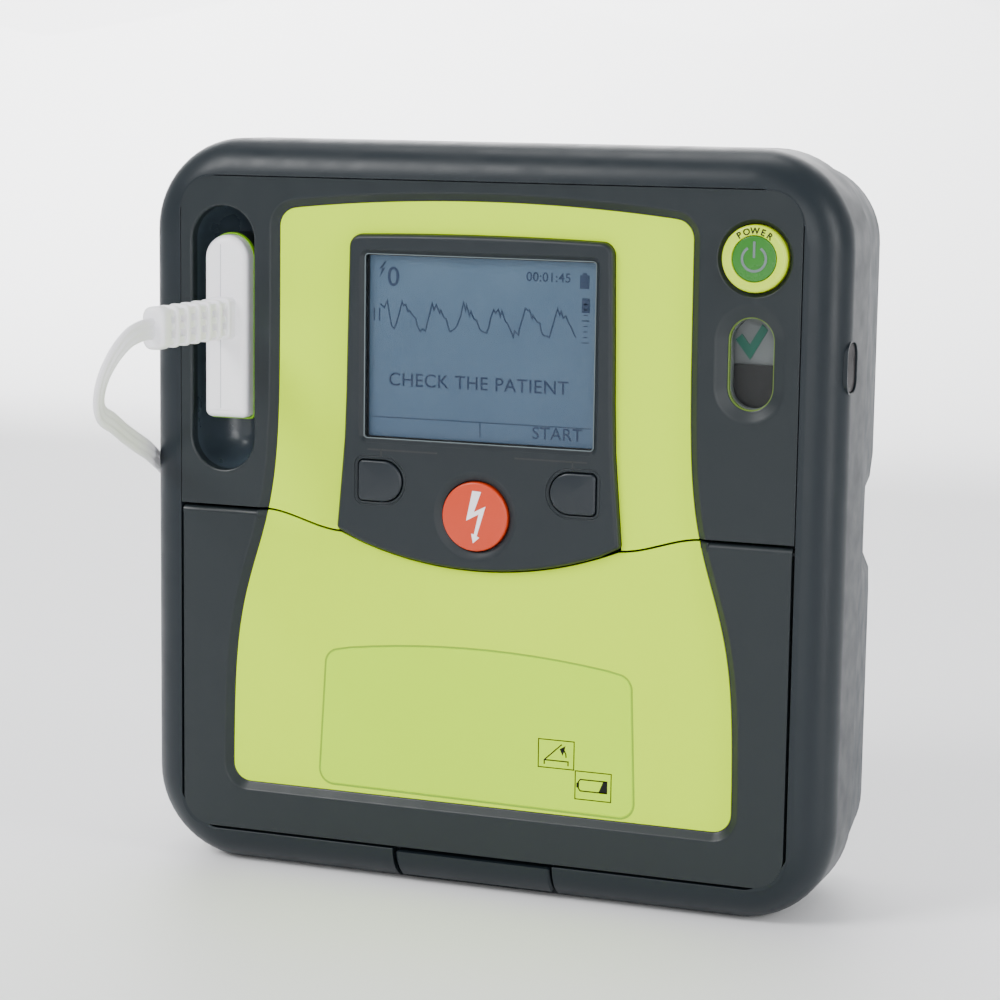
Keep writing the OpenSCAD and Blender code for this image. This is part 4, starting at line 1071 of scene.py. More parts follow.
class DEFIB_OT_front_housing(bpy.types.Operator):
    """Front housing with its round bevel, latch slot and infrared window"""
    bl_idname = "defib.front_housing"
    bl_label = "Front housing"

    def execute(self, context):
        case = settings().case
        r, bevel = case.corner_r, case.bevel_r
        inner = r - bevel
        loops = [opening_ring(-3.5, LEDGE - 2), opening_ring(-3.5, LEDGE), opening_ring(0, LEDGE),
                 opening_ring(0, FACE - 0.3), opening_ring(0.06, FACE - 0.1), opening_ring(0.22, FACE - 0.02)]
        loops.append(ring(bevel - 1.6, inner + 1.6, FACE - 0.10))
        for deg in range(80, -1, -5):
            a = math.radians(deg)
            loops.append(ring(bevel * (1 - math.cos(a)), r - bevel * (1 - math.cos(a)),
                              FACE - bevel * (1 - math.sin(a))))
        loops += [ring(0, r, (FACE + PARTING) / 2 - 3), ring(0, r, PARTING + 0.5),
                  ring(0.12, r - 0.12, PARTING + 0.15), ring(0.45, r - 0.45, PARTING),
                  ring(WALL, r - WALL, PARTING), ring(WALL, r - WALL, FACE - bevel)]
        for deg in range(10, 51, 10):
            a = math.radians(deg)
            inset_ = WALL + (bevel - WALL) * (1 - math.cos(a))
            loops.append(ring(inset_, r - inset_, FACE - bevel + (bevel - WALL) * math.sin(a)))
        slot = sector(8.6, 16.0, LATCH_HALF + 1.0, 3, 75)
        low, high = node_box("irda_window")
        window = (high[1] - low[1] - 2, high[2] - low[2], 4.6, (low[1] + high[1]) / 2, (low[2] + high[2]) / 2)
        wall = BODY_W / 2
        hole = loft(side_block(*window, ((wall - 3.6, 0.0), (wall + 1, 0.0))), closed=False)
        shell = carved(loft(loops), slot, hole)
        piece("front_shell", shell, finish("abs_case_slate"), "case", ("front_housing",),
              sharp=28)
        lever = merged(sector(9.8, 13.0, LATCH_HALF, 8, 55, 20, edge=0.8))
        piece("latch_tab", lever, finish("abs_case_slate"), "latch", ("latch_lever",),
              sharp=28)
        pane = side_block(*window,
                          ((wall - 2.8, 0.3), (wall - 1.0, 0.3), (wall - 0.6, 0.6), (wall - 0.5, 1.2)))
        piece("infrared_pane", loft(pane, closed=False), finish("acrylic_infrared_dark"), "case",
              ("irda_window",))
        lip = side_block(*window,
                         ((wall - 1.4, -0.1), (wall - 0.05, -0.1), (wall - 0.05, 0.35), (wall - 1.4, 0.35)))
        piece("infrared_lip", loft(lip), finish("abs_case_slate"), "case")
        return {"FINISHED"}


class DEFIB_OT_rear_housing(bpy.types.Operator):
    """Rear housing with finger scoops, speaker slots, feet, screws and the gasket"""
    bl_idname = "defib.rear_housing"
    bl_label = "Rear housing"

    def execute(self, context):
        case = settings().case
        start, edge_r = 0.6, 8.0
        r = case.corner_r
        front = PARTING - 1.2
        turn_f = BACK + edge_r
        steps = 14

        def outer(t):
            loss = start + (case.taper - start) * t
            return self.scooped(loss, r - loss, front + (turn_f - front) * t)
        loops = [self.scooped(WALL + start, r - WALL - start, front),
                 self.scooped(start + 0.4, r - start - 0.4, front),
                 self.scooped(start + 0.1, r - start - 0.1, front - 0.2)]
        loops += [outer(i / steps) for i in range(1, steps)]
        for deg in range(0, 86, 8):
            a = math.radians(deg)
            loss = case.taper + edge_r * (1 - math.cos(a))
            loops.append(self.scooped(loss, r - loss, turn_f - edge_r * math.sin(a)))
        back_loss = case.taper + edge_r
        last = self.pressed(back_loss, r - back_loss, BACK)
        inner_loss = case.taper + WALL
        shell = loft(loops + [flat_loop(last, BACK)], closed=False, caps=False)
        inside = rounded_rect(BODY_W - 2 * inner_loss - 8, BODY_H - 2 * inner_loss - 8, 20, MID_Z, 14, 24)
        lining = loft([self.scooped(WALL + start, r - WALL - start, front),
                       self.scooped(inner_loss + 1.5, r - inner_loss - 1.5, turn_f, 0.0),
                       flat_loop(inside, BACK + WALL + 0.5)],
                      closed=False, caps=False)
        holes = [(circle(x, z, 3.3, 32), 6.5) for x in (-98, 98) for z in (22, BODY_H - 22)]
        holes += [(capsule(60 + 4.5 * i, 150, 1.8, 30 - abs(i) * 4, 8), 1.8) for i in range(-3, 4)]
        holes += [(rounded_rect(92, 56, 4, 66, 8), 0.5)]
        backs = bmesh.new()
        caps = [[backs.verts.new(place(x, BACK, z)) for x, z in last]]
        for points, deep in holes:
            rim_ = [backs.verts.new(place(x, BACK, z)) for x, z in inset(points, -0.25)]
            lip = [backs.verts.new(place(x, BACK + 0.25, z)) for x, z in points]
            base = [backs.verts.new(place(x, BACK + deep, z)) for x, z in points]
            for a, b in ((rim_, lip), (lip, base)):
                for i in range(len(a)):
                    j = (i + 1) % len(a)
                    backs.faces.new((a[i], a[j], b[j], b[i]))
            backs.faces.new(base)
            caps.append(rim_)
        verts = [v for loop_ in caps for v in loop_]
        for tri in geometry.tessellate_polygon([[Vector((v.co.x, v.co.z,
                                                         0)) for v in loop_] for loop_ in caps]):
            backs.faces.new([verts[i] for i in tri])
        floor = bmesh.new()
        floor.faces.new([floor.verts.new(place(x, BACK + WALL + 0.5, z)) for x, z in inside])
        whole = bmesh.new()
        for part in (shell, lining, backs, floor):
            mesh = bpy.data.meshes.new("part")
            part.to_mesh(mesh)
            part.free()
            whole.from_mesh(mesh)
            bpy.data.meshes.remove(mesh)
        piece("rear_shell", whole, finish("abs_rear_slate"), "case", ("rear_housing",),
              sharp=28)
        gasket = loft([ring(WALL + 0.2, case.corner_r - WALL - 0.2, PARTING),
                       ring(1.0, case.corner_r - 1.0, PARTING),
                       ring(1.0, case.corner_r - 1.0, front),
                       ring(WALL + 0.2, case.corner_r - WALL - 0.2, front)])
        piece("parting_gasket", gasket, finish("silicone_rubber_black"), "case", ("housing_gasket",))
        self.feet_and_screws()
        return {"FINISHED"}

    def scooped(self, loss, r, forward, depth=3.5):
        """A ring of the rear housing, pressed in at the finger scoops."""
        return flat_loop(self.pressed(loss, r, forward, depth), forward)

    def pressed(self, loss, r, forward, depth=3.5):
        out = []
        for x, z in rounded_rect(BODY_W - 2 * loss, BODY_H - 2 * loss, r, MID_Z, 14, 24):
            if abs(x) > BODY_W / 4 and depth:
                press = depth * smooth((16.5 - abs(z - 120)) / 7) * smooth((-forward - 8) / 8)
                x = math.copysign(abs(x) - press, x)
            out.append((x, z))
        return out

    def feet_and_screws(self):
        low, high = node_box("rear_feet")
        tall = high[1] - (-BACK)
        foot = [(-1.0, 0.1), (-1.0, 8.0), (tall - 0.7, 8.0), (tall - 0.2, 7.8), (tall, 7.2), (tall, 5.4),
                (tall - 0.4, 5.0), (tall - 0.4, 0.1)]
        spots = [(x, z) for x in (-80, 80) for z in (40, 195)]
        feet = merged(*[turned(foot, (x, -BACK, z), (0, 1, 0), 48) for x, z in spots])
        piece("rear_feet_pads", feet, finish("silicone_rubber_black"), "case", ("rear_feet",))
        heads = []
        for x in (-98, 98):
            for z in (22, BODY_H - 22):
                head = [(-40, 0.1), (-40, 1.5), (-8.2, 1.5), (-8.0, 2.9), (-6.4, 2.9), (-5.9, 2.4),
                        (-5.8, 0.1)]
                arms = []
                for w, h in ((3.2, 0.8), (0.8, 3.2)):
                    arm = rounded_rect(w, h, 0.1, z, 2, cx=x)
                    arms.append(loft([flat_loop(arm, BACK + f) for f in (4.9, 6.9)], closed=False))
                heads.append(carved(turned(head, (x, -BACK, z), (0, 1, 0), 32), *arms))
        piece("case_screw_heads", merged(*heads), finish("steel_zinc_plated"), "case", ("case_screws",))


# ---------------------------------------------------------------- the face

WELL_HI = node_box("upper_faceplate")[1]
WELL_X, WELL_Z, WELL_W, WELL_H = -88.5, 174.7, 22.0, 85.3
WELL_FLOOR = -WELL_HI[1] + 1.6
POWER_LO, POWER_HI = node_box("power_button_ring")
POWER_X = (POWER_LO[0] + POWER_HI[0]) / 2
POWER_Z = (POWER_LO[2] + POWER_HI[2]) / 2
LENS_LO, LENS_HI = node_box("status_lens")
LENS_X, LENS_Z = (LENS_LO[0] + LENS_HI[0]) / 2, (LENS_LO[2] + LENS_HI[2]) / 2
LENS_W, LENS_H = LENS_HI[0] - LENS_LO[0], LENS_HI[2] - LENS_LO[2]
PANEL_F = FACE - 2.0
POCKET_F = PANEL_F - 0.8
PLATE_BACK = FACE - PLATE_T
RIM = 3.0


def face_outline(upper):
    """Outline of a face part that wraps round its green panel, with the share of slope on each edge."""
    gap = GAP / 2
    seam = settings().panel.seam + (gap if upper else -gap - 2.0)
    side = TRIM if upper else GAP
    half, top, foot = OPEN_HALF - side, BODY_H - FRAME_H - side, FRAME_H + side
    r = PLATE_R - side
    pocket = upper_pocket(seam) if upper else lower_pocket(seam)
    if upper:
        outer = [(half, seam)] + arc(half - r, top - r, r, 0, 90, 12) + arc(r - half, top - r, r, 90, 180, 12)
        outer += [(-half, seam)]
    else:
        outer = [(half, seam)] + arc(half - r, foot + r, r, 360, 270, 12)
        outer += arc(r - half, foot + r, r, 270, 180, 12) + [(-half, seam)]
    points = pocket + outer
    marks = [1.0] * (len(pocket) - 1) + [0.03] * (len(outer) + 1)
    return points, marks


SLOPE = [(RIM, FACE), (RIM - 0.35, FACE - 0.06), (RIM - 0.8, FACE - 0.3), (0.5, PANEL_F + 0.15),
         (0.12, PANEL_F - 0.02), (0.0, PANEL_F - 0.3), (0.0, PLATE_BACK)]


class DEFIB_OT_faceplate(bpy.types.Operator):
    """Upper faceplate with its wells and dishes, and the electrode port"""
    bl_idname = "defib.faceplate"
    bl_label = "Upper faceplate"

    def execute(self, context):
        dish = [(1.5, FACE), (1.25, FACE - 0.03), (0.95, FACE - 0.2), (0.35, FACE - 0.9), (0.1, FACE - 1.05),
                (0.0, FACE - 1.3), (0.0, PLATE_BACK)]
        hollow_w = (22.9 - LENS_W - 0.75) / 2
        hollow = [(hollow_w, FACE), (hollow_w - 0.5, FACE - 0.04), (hollow_w - 1.4, FACE - 0.3),
                  (1.0, FACE - 1.05), (0.3, FACE - 1.15), (0.0, FACE - 1.35), (0.0, PLATE_BACK)]
        lip = [(0.9, FACE), (0.6, FACE - 0.06), (0.28, FACE - 0.26), (0.08, FACE - 0.6), (0.0, FACE - 1.0),
               (0.0, PLATE_BACK)]
        holes = [(capsule(WELL_X, WELL_Z, WELL_W, WELL_H), lip), (circle(POWER_X, POWER_Z, 10.55), dish),
                 (capsule(LENS_X, LENS_Z, LENS_W + 0.75, LENS_H + 0.75), hollow)]
        depth = PLATE_BACK - WELL_FLOOR
        angles = [math.radians(a) for a in range(6, 91, 7)]
        well = [(0.0, PLATE_BACK + 0.3)]
        well += [(9.6 * (1 - math.cos(a)) ** 0.9, WELL_FLOOR + depth * (1 - math.sin(a))) for a in angles]
        wall = capsule(WELL_X, WELL_Z, WELL_W + 3, WELL_H + 3)
        cup = [flat_loop(wall, WELL_FLOOR - 1.5), flat_loop(wall, PLATE_BACK + 0.3)]
        cup += [flat_loop(capsule(WELL_X, WELL_Z, WELL_W - 2 * s, WELL_H - 2 * s), f) for s, f in well]
        floor = plate(arch_outline(), [(0.0, POCKET_F - 0.02), (0.0, PLATE_BACK)])
        # The bowl's paler slate is painted light in the well.
        piece("electrode_well_bowl", loft(cup, closed=False), finish("abs_well_painted_light"), "case")
        shell = merged(plate(face_outline(True), SLOPE, holes), floor)
        piece("upper_faceplate_shell", shell, finish("abs_faceplate_slate"), "case", ("upper_faceplate",),
              sharp=26)
        self.port()
        return {"FINISHED"}

    def port(self):
        low, high = node_box("electrode_port")
        half = (high[0] - low[0]) / 2
        cx, top, foot, face = (low[0] + high[0]) / 2, high[2], low[2], -low[1] - 1.0

        def outline(loss):
            r = half - loss
            return arc(cx, top - half, r, 0, 180, 20) + arc(cx - r + 2, foot + loss + 2, 2, 180, 270,
                                                            5) + arc(
                cx + r - 2, foot + loss + 2, 2, 270, 360, 5)
        under, seat = face - 1.4, WELL_FLOOR + 4.4
        rim_ = ((0.5, under), (0.5, face - 0.3), (0.65, face), (0.95, face), (1.05, face - 0.3),
                (1.05, seat + 0.05),
                (0.96, seat + 0.05), (0.96, under))
        piece("port_housing", loft([flat_loop(outline(loss), f) for loss, f in rim_]),
              finish("abs_port_lime"), "case",
              ("electrode_port",))
        stand = ((0.6, WELL_FLOOR - 0.2), (0.6, under - 0.02), (0.95, under - 0.02), (0.95, seat))
        piece("port_stand", loft([flat_loop(outline(loss), f) for loss, f in stand], closed=False),
              finish("abs_faceplate_slate"), "case")


class DEFIB_OT_green_panels(bpy.types.Operator):
    """The two green overlays, the label and its pictograms"""
    bl_idname = "defib.green_panels"
    bl_label = "Green panels"

    def execute(self, context):
        film = finish("polycarbonate_overlay_lime")
        seam = settings().panel.seam
        piece("upper_overlay", plate(inset(arch_outline(), 0.05), round_edge(0.15, PANEL_F, POCKET_F, 2)),
              film, "case",
              ("upper_green_panel",))
        edge = lower_pocket(seam - GAP / 2)
        lower = edge + [(x, z) for x, z in seam_line(edge[-1][0], edge[0][0], -GAP / 2)][1:-1]
        piece("lower_overlay", plate(inset(lower, 0.05), round_edge(0.15, PANEL_F, POCKET_F, 2)), film,
              "cover",
              ("lower_green_panel",))
        self.label()
        return {"FINISHED"}

    def label(self):
        corners = [(-54.6, 30.6), (54.0, 29.4), (52.2, 74.8), (-52.2, 74.8)]
        top = [(x, 79.6 - x * x / 620) for x in range(44, -45, -8)]
        ring_ = (fillet(corners[3], corners[0], corners[1], 5) + fillet(corners[0], corners[1], corners[2], 5)
                 + fillet(corners[1], corners[2], top[0], 5) + top
                 + fillet(top[-1], corners[3], corners[0], 5))
        piece("cover_label_film",
              plate(ring_, [(0.75, PANEL_F + 0.3), (0.6, PANEL_F + 0.25), (0.5, PANEL_F + 0.08),
                            (0.36, PANEL_F + 0.04), (0.0, PANEL_F + 0.02),
                                                (0.0, PANEL_F - 0.05)]),
              finish("polyester_label_lime"), "cover", ("cover_label",))
        # A flat darker lime ring round the label: painted shade of a groove.
        edge = [(0.0, PANEL_F + 0.07), (0.0, PANEL_F - 0.04)]
        groove_shade = plate(inset(ring_, -0.25), edge, [(inset(ring_, 0.35), edge)])
        piece("label_groove_painted_shade", groove_shade, finish("lime_groove_painted_shade"), "cover")
        ink = finish("screen_ink_black")
        drawings = [self.frame_box(21.6, 43.5, 12.3, 9.4), self.frame_box(34.1, 34.3, 12.3, 9.4)]
        x, z = 21.6, 43.5
        lid = [[(x + 2.2, z + 1.2), (x + 2.2, z + 2.6), (x + 10.2, z + 2.6), (x + 10.2, z + 1.2)],
               [(x + 2.3, z + 2.7), (x + 8.0, z + 8.0)],
               [(x + 9.5, z + 3.9), (x + 9.4, z + 5.0), (x + 8.9, z + 6.0), (x + 8.3, z + 6.6)]]
        x, z = 34.1, 34.3
        cell = [[(x + 10.8, z + 6.6), (x + 1.9, z + 6.6), (x + 1.3, z + 5.8), (x + 1.3, z + 3.7),
                 (x + 1.9, z + 2.9), (x + 10.8, z + 2.9)]]
        drawings += [plate(stroke(line, 0.42), self.ink_edge()) for line in lid + cell]
        drawings.append(plate([(30.9, 51.2), (28.9, 50.0), (29.9, 47.9), (30.4, 49.2)][::-1],
                              self.ink_edge()))
        drawings.append(plate([(x + 7.9, z + 2.7), (x + 10.9, z + 2.7), (x + 10.9, z + 6.8),
                               (x + 9.6, z + 6.8)],
                              self.ink_edge()))
        drawings.append(plate([(x + 0.6, z + 4.0), (x + 1.3, z + 3.7), (x + 1.3, z + 5.8),
                               (x + 0.6, z + 5.4)],
                              self.ink_edge()))
        piece("label_pictograms", merged(*drawings), ink, "cover")

    def ink_edge(self):
        return [(0.0, PANEL_F + 0.33), (0.0, PANEL_F + 0.27)]

    def frame_box(self, x, z, w, h, line=0.35):
        outer = [(x, z), (x + w, z), (x + w, z + h), (x, z + h)]
        hole = [(x + line, z + line), (x + w - line, z + line), (x + w - line, z + h - line),
                (x + line, z + h - line)]
        return plate(outer, self.ink_edge(), [(hole, self.ink_edge())])


# ---------------------------------------------------------------- the display

WINDOW_LO, WINDOW_HI = node_box("display_window")
BEZEL_LO, BEZEL_HI = node_box("display_bezel")
BEZEL_F = -BEZEL_LO[1]
BEZEL_B = -BEZEL_HI[1]
WINDOW_W, WINDOW_H = WINDOW_HI[0] - WINDOW_LO[0], WINDOW_HI[2] - WINDOW_LO[2]
WINDOW_Z = (WINDOW_LO[2] + WINDOW_HI[2]) / 2
WINDOW_F = -WINDOW_LO[1]
SHOCK_LO, SHOCK_HI = node_box("shock_button")
SHOCK_Z = (SHOCK_LO[2] + SHOCK_HI[2]) / 2
KEY_OUT, KEY_W, KEY_H, KEY_Z = 40.0, 15.0, 13.0, 131.8
LCD_F = -node_box("lcd_module")[0][1]


def bezel_outline(grow=0.0):
    foot_half, top = 48.0, 210.5
    foot_z = settings().panel.seam - SEAM_DIP + 1.2
    right_top = fillet((44.6, 190), (44.0, top - 0.8), (30, top - 0.37), 4, 6)
    right_foot = fillet((46.5, 128), (foot_half, foot_z), (44, seam_at(44) + TRIM), 1.6, 5)
    left_foot, left_top = [(-x, z) for x, z in right_foot[::-1]], [(-x, z) for x, z in right_top[::-1]]
    top_line = [(x, top - 0.8 * (x / 44) ** 2) for x in range(32, -33, -8)]
    points = right_foot[::-1] + [(46.3, 135), (45.5, 145), (45.0, 160), (44.7, 178)] + right_top
    points += top_line + left_top + [(-44.7, 178), (-45.0, 160), (-45.5, 145), (-46.3, 135)] + left_foot[::-1]
    points += [(x, z) for x, z in seam_line(-41, 41, TRIM, 3)]
    return inset(points, -grow) if grow else points


def key_outline(side, grow=0.0):
    """D-shaped key: straight outer edge, round inner end."""
    r = KEY_H / 2 + grow
    cx = KEY_OUT - KEY_W + KEY_H / 2
    flat = KEY_OUT + grow
    corner = 1.6 + max(grow, 0)
    points = (arc(cx, KEY_Z, r, 90, 270, 20) + arc(flat - corner, KEY_Z - r + corner, corner, 270, 360, 5)
              + arc(flat - corner, KEY_Z + r - corner, corner, 0, 90, 5))
    return points if side > 0 else [(-x, z) for x, z in points[::-1]]


class DEFIB_OT_display(bpy.types.Operator):
    """Display bezel, window, liquid crystal and what it shows"""
    bl_idname = "defib.display"
    bl_label = "Display"

    def execute(self, context):
        slope = [(1.5, BEZEL_F), (1.1, BEZEL_F - 0.05), (0.6, BEZEL_F - 0.3), (0.2, BEZEL_F - 0.8),
                 (0.0, BEZEL_F - 1.5), (0.0, BEZEL_B)]
        frame_edge = [(1.6, BEZEL_F), (1.3, BEZEL_F - 0.06), (0.9, BEZEL_F - 0.4), (0.3, BEZEL_F - 1.0),
                      (0.0, WINDOW_F - 0.1), (0.0, BEZEL_B)]
        dish = [(3.0, BEZEL_F), (2.5, BEZEL_F - 0.05), (1.6, BEZEL_F - 0.3), (0.4, BEZEL_F - 0.75),
                (0.1, BEZEL_F - 0.9), (0.0, BEZEL_F - 1.2), (0.0, BEZEL_B)]
        ridge = [(1.25, BEZEL_F), (1.15, BEZEL_F - 0.16), (1.0, BEZEL_F - 0.22), (0.85, BEZEL_F - 0.16),
                 (0.7, BEZEL_F + 0.02), (0.3, BEZEL_F + 0.02), (0.06, BEZEL_F - 0.14), (0.0, BEZEL_F - 0.5),
                 (0.0, BEZEL_B)]
        holes = [(rounded_rect(WINDOW_W - 1.2, WINDOW_H - 1.2, 1.4, WINDOW_Z, 6), frame_edge),
                 (circle(0, SHOCK_Z, 11.35), dish), (key_outline(1, 0.3), ridge),
                 (key_outline(-1, 0.3), ridge)]
        piece("bezel_shell", plate(bezel_outline(), slope, holes), finish("abs_bezel_slate"), "case",
              ("display_bezel",), sharp=26)
        pane = plate(rounded_rect(WINDOW_W, WINDOW_H, 1.4, WINDOW_Z, 6),
                     round_edge(0.1, WINDOW_F - 0.15, WINDOW_F - 1.2, 2))
        piece("display_pane", pane, finish("acrylic_window_clear"), "case",
              ("display_window",))
        # A pale ring just in front of the pane's edge: a painted glint.
        glint = plate(rounded_rect(WINDOW_W - 1.3, WINDOW_H - 1.3, 1.3, WINDOW_Z, 6),
                      [(0.0, WINDOW_F + 0.12), (0.0, WINDOW_F - 0.2)],
                      [(rounded_rect(WINDOW_W - 1.9, WINDOW_H - 1.9, 1.0, WINDOW_Z, 6),
                        [(0.0, WINDOW_F + 0.12), (0.0, WINDOW_F - 0.2)])])
        piece("display_pane_painted_glint", glint, finish("pane_edge_painted_glint"), "case")
        paint("lcd_module", finish("lcd_polariser_blue"))
        self.border()
        self.readout()
        self.brackets()
        return {"FINISHED"}

    def border(self):
        """Black mask printed round the visible cells."""
        f = LCD_F + 0.5
        edge = [(0.0, f), (0.0, f - 0.3)]
        mask = plate(rounded_rect(WINDOW_W + 1, WINDOW_H + 1, 1, WINDOW_Z, 4), edge,
                     [(rounded_rect(WINDOW_W - 3.0, WINDOW_H - 2.6, 0.6, WINDOW_Z, 4), edge)])
        piece("display_mask", mask, finish("polycarbonate_black"), "case")

    def readout(self):
        f = LCD_F + 0.12
        edge = [(0.0, f), (0.0, f - 0.08)]
        ink = finish("lcd_cells_dark")
        left, right, top, foot = -36.8, 36.8, WINDOW_Z + 27.6, WINDOW_Z - 27.2
        shapes = []
        beat = ((0.0, -3.6), (0.10, -3.9), (0.16, -2.2), (0.24, 1.2), (0.34, 4.6), (0.40, 3.0), (0.45, 3.8),
                (0.55, 1.6), (0.60, 2.6), (0.70, 0.2), (0.78, -0.4), (0.86, -3.0), (0.93, -4.6))
        chance = random.Random(7)
        trace = [(left + 2.4, WINDOW_Z + 13.4), (left + 3.8, WINDOW_Z + 12.2), (left + 4.8, WINDOW_Z + 14.4)]
        for turn in range(6):
            for along, rise in beat:
                trace.append((left + 6.4 + (turn + along) * 10.4 + chance.uniform(-0.25, 0.25),
                              WINDOW_Z + 9.6 + rise * chance.uniform(0.8, 1.15) + chance.uniform(-0.4, 0.4)))
        shapes.append(plate(stroke(trace, 0.42), edge))
        for x in (left + 0.4, left + 2.2):
            shapes.append(plate(stroke([(x, WINDOW_Z + 8), (x, WINDOW_Z + 12)], 0.4), edge))
        gauge = right - 2.3
        for i in range(9):
            reach = 1.3 if i % 4 else 2.4
            shapes.append(plate(stroke([(gauge - reach / 2, WINDOW_Z + 4 + i * 1.7),
                                        (gauge + reach / 2, WINDOW_Z + 4 + i * 1.7)], 0.35), edge))
        shapes.append(plate([(gauge - 1.3, WINDOW_Z + 13.2), (gauge + 1.3, WINDOW_Z + 13.2),
                             (gauge + 1.3, WINDOW_Z + 17.4), (gauge - 1.3, WINDOW_Z + 17.4)], edge))
        cell_x, cell_z = right - 2.8, top - 4.6
        shapes.append(plate([(cell_x - 1.5, cell_z - 2.4), (cell_x + 1.5, cell_z - 2.4),
                             (cell_x + 1.5, cell_z + 1.8),
                             (cell_x + 0.7, cell_z + 1.8), (cell_x + 0.7, cell_z + 2.5),
                             (cell_x - 0.7, cell_z + 2.5),
                             (cell_x - 0.7, cell_z + 1.8), (cell_x - 1.5, cell_z + 1.8)], edge))
        rule = foot + 4.6
        shapes.append(plate(stroke([(left, rule), (right, rule)], 0.3), edge))
        shapes.append(plate(stroke([(0.0, foot), (0.0, rule)], 0.3), edge))
        bolt = [(0.9, 2.6), (-1.0, 0.2), (0.1, 0.4), (-0.9, -2.4), (1.1, 0.6), (0.0, 0.5), (1.5, 2.6)]
        shapes.append(plate([(left + 3.0 + x, top - 3.4 + z) for x, z in bolt], edge))
        piece("display_symbols", merged(*shapes), ink, "case")
        words = [("0", left + 6.9, top - 8.4, 6.2), ("00:01:45", right - 14.6, top - 5.2, 2.9),
                 ("CHECK THE PATIENT", -1.0, WINDOW_Z - 12.4, 4.3), ("START", right - 11.0, foot + 0.5, 3.9)]
        meshes = [lettering("words", w, x, f - 0.02, z, h, spread=1.06, weight=0.04) for w, x, z, h in words]
        joined("display_words", meshes, ink, "case")

    def brackets(self):
        f = BEZEL_F + 0.03
        edge = [(0.0, f), (0.0, f - 0.1)]
        lines = []
        for s in (-1, 1):
            lines.append(plate(stroke([(s * 13, 141.8), (s * 37, 141.8)], 0.5), edge))
            lines.append(plate(stroke([(s * 32.3, 141.8), (s * 32.3, 139.7)], 0.5), edge))
        piece("key_brackets", merged(*lines), finish("screen_ink_bezel"), "case")


# ---------------------------------------------------------------- buttons and the status window

def domed(outline, front, back, edge, dome, steps=5):
    """A cap with a rounded rim and a slightly crowned face."""
    r = edge
    loops = []
    cx = sum(x for x, z in outline) / len(outline)
    cz = sum(z for x, z in outline) / len(outline)
    loops.append(flat_loop(outline, back))
    for i in range(steps + 1):
        a = math.radians(90 * i / steps)
        loops.append(flat_loop(inset(outline, r * (1 - math.cos(a))), front - dome - r * (1 - math.sin(a))))
    rim_ = inset(outline, r)
    for k in (0.8, 0.6, 0.4, 0.2, 0.06):
        loops.append(flat_loop([(cx + (x - cx) * k, cz + (z - cz) * k) for x, z in rim_],
                               front - dome * k * k))
    return loft(loops, closed=False)


class DEFIB_OT_buttons(bpy.types.Operator):
    """Power button, shock button and softkeys"""
    bl_idname = "defib.buttons"
    bl_label = "Buttons"

    def execute(self, context):
        self.power()
        self.shock()
        self.softkeys()
        return {"FINISHED"}

    def power(self):
        low, high = POWER_LO, POWER_HI
        front, back = -low[1], -high[1]
        proud = [(front - 12.8, 11.0), (front - 10.7, 11.0), (front - 10.7, 9.2), (front - 6.3, 9.2),
                 (front - 6.3, 10.2), (front - 1.1, 10.2), (front - 0.5, 10.02), (front - 0.15, 9.65),
                 (front, 9.1), (front, 7.6), (front - 0.1, 7.2), (front - 0.4, 7.0), (front - 2.4, 7.0),
                 (front - 2.4, 0.1)]
        ring_ = turned([(-6.3 - 6.5, 0.1)] + [(f - front, r) for f, r in proud], (POWER_X, -front, POWER_Z),
                       (0, -1, 0), 96)
        piece("power_ring", ring_, finish("polycarbonate_lime"), "power_button", ("power_button_ring",),
              sharp=40)
        core = domed(circle(POWER_X, POWER_Z, 6.9), front - 0.15, front - 2.4, 0.4, 0.25)
        piece("power_core", core, finish("polycarbonate_green"), "power_button", ("power_button_core",))
        f = front - 0.12
        edge = [(0.0, f), (0.0, f - 0.25)]
        mark = merged(plate(stroke(arc(POWER_X, POWER_Z, 3.7, 122, 418, 40), 0.75), edge),
                      plate(stroke([(POWER_X, POWER_Z + 0.3), (POWER_X, POWER_Z + 5.2)], 0.75), edge))
        piece("power_mark", mark, finish("pad_print_grey"), "power_button")
        letters = []
        ink = finish("screen_ink_black")
        for letter, turn in zip("POWER", (-34, -17, 1, 19, 35)):
            letters.append(lettering("letter", letter, POWER_X, front + 0.06, POWER_Z + 7.45, 1.95,
                                     turn=turn, centre=(POWER_X, POWER_Z), weight=0.07))
        joined("power_lettering", letters, ink, "power_button")

    def shock(self):
        front = -SHOCK_LO[1]
        dome = settings().button.dome
        cap = domed(circle(0, SHOCK_Z, 11.0), front, front - 5.5, 0.7, dome)
        skirt = turned([(-6.9, 0.1), (-6.9, 12.0), (-5.5, 12.0), (-5.4, 0.1)], (0, -front, SHOCK_Z),
                       (0, -1, 0), 96)
        piece("shock_cap", merged(cap, skirt), finish("abs_shock_orange"), "shock", ("shock_button",),
              sharp=40)
        bolt = [(-0.6, 8.3), (2.3, 8.1), (0.0, 1.6), (3.9, 3.6), (1.0, -6.0), (1.9, -6.5), (-0.2, -8.3),
                (-0.8, -5.3), (0.1, -5.5), (1.6, 1.0), (-2.6, -1.3)]
        reach = front - dome * 0.45
        piece("shock_mark", plate([(x, SHOCK_Z + z) for x, z in bolt], [(0.0, front + 0.02), (0.0, reach)]),
              finish("pad_print_white"), "shock")

    def softkeys(self):
        for side, word in ((-1, "left"), (1, "right")):
            low, high = node_box("softkey_" + word)
            front = -low[1]
            cap = domed(key_outline(side), front, front - 4.6, 0.7, 0.3)
            skirt = plate(key_outline(side, 0.85), [(0.0, front - 4.7), (0.0, front - 6.8)])
            piece("softkey_cap_" + word, merged(cap, skirt), finish("silicone_key_slate"), word + "_softkey",
                  ("softkey_" + word,), sharp=40)


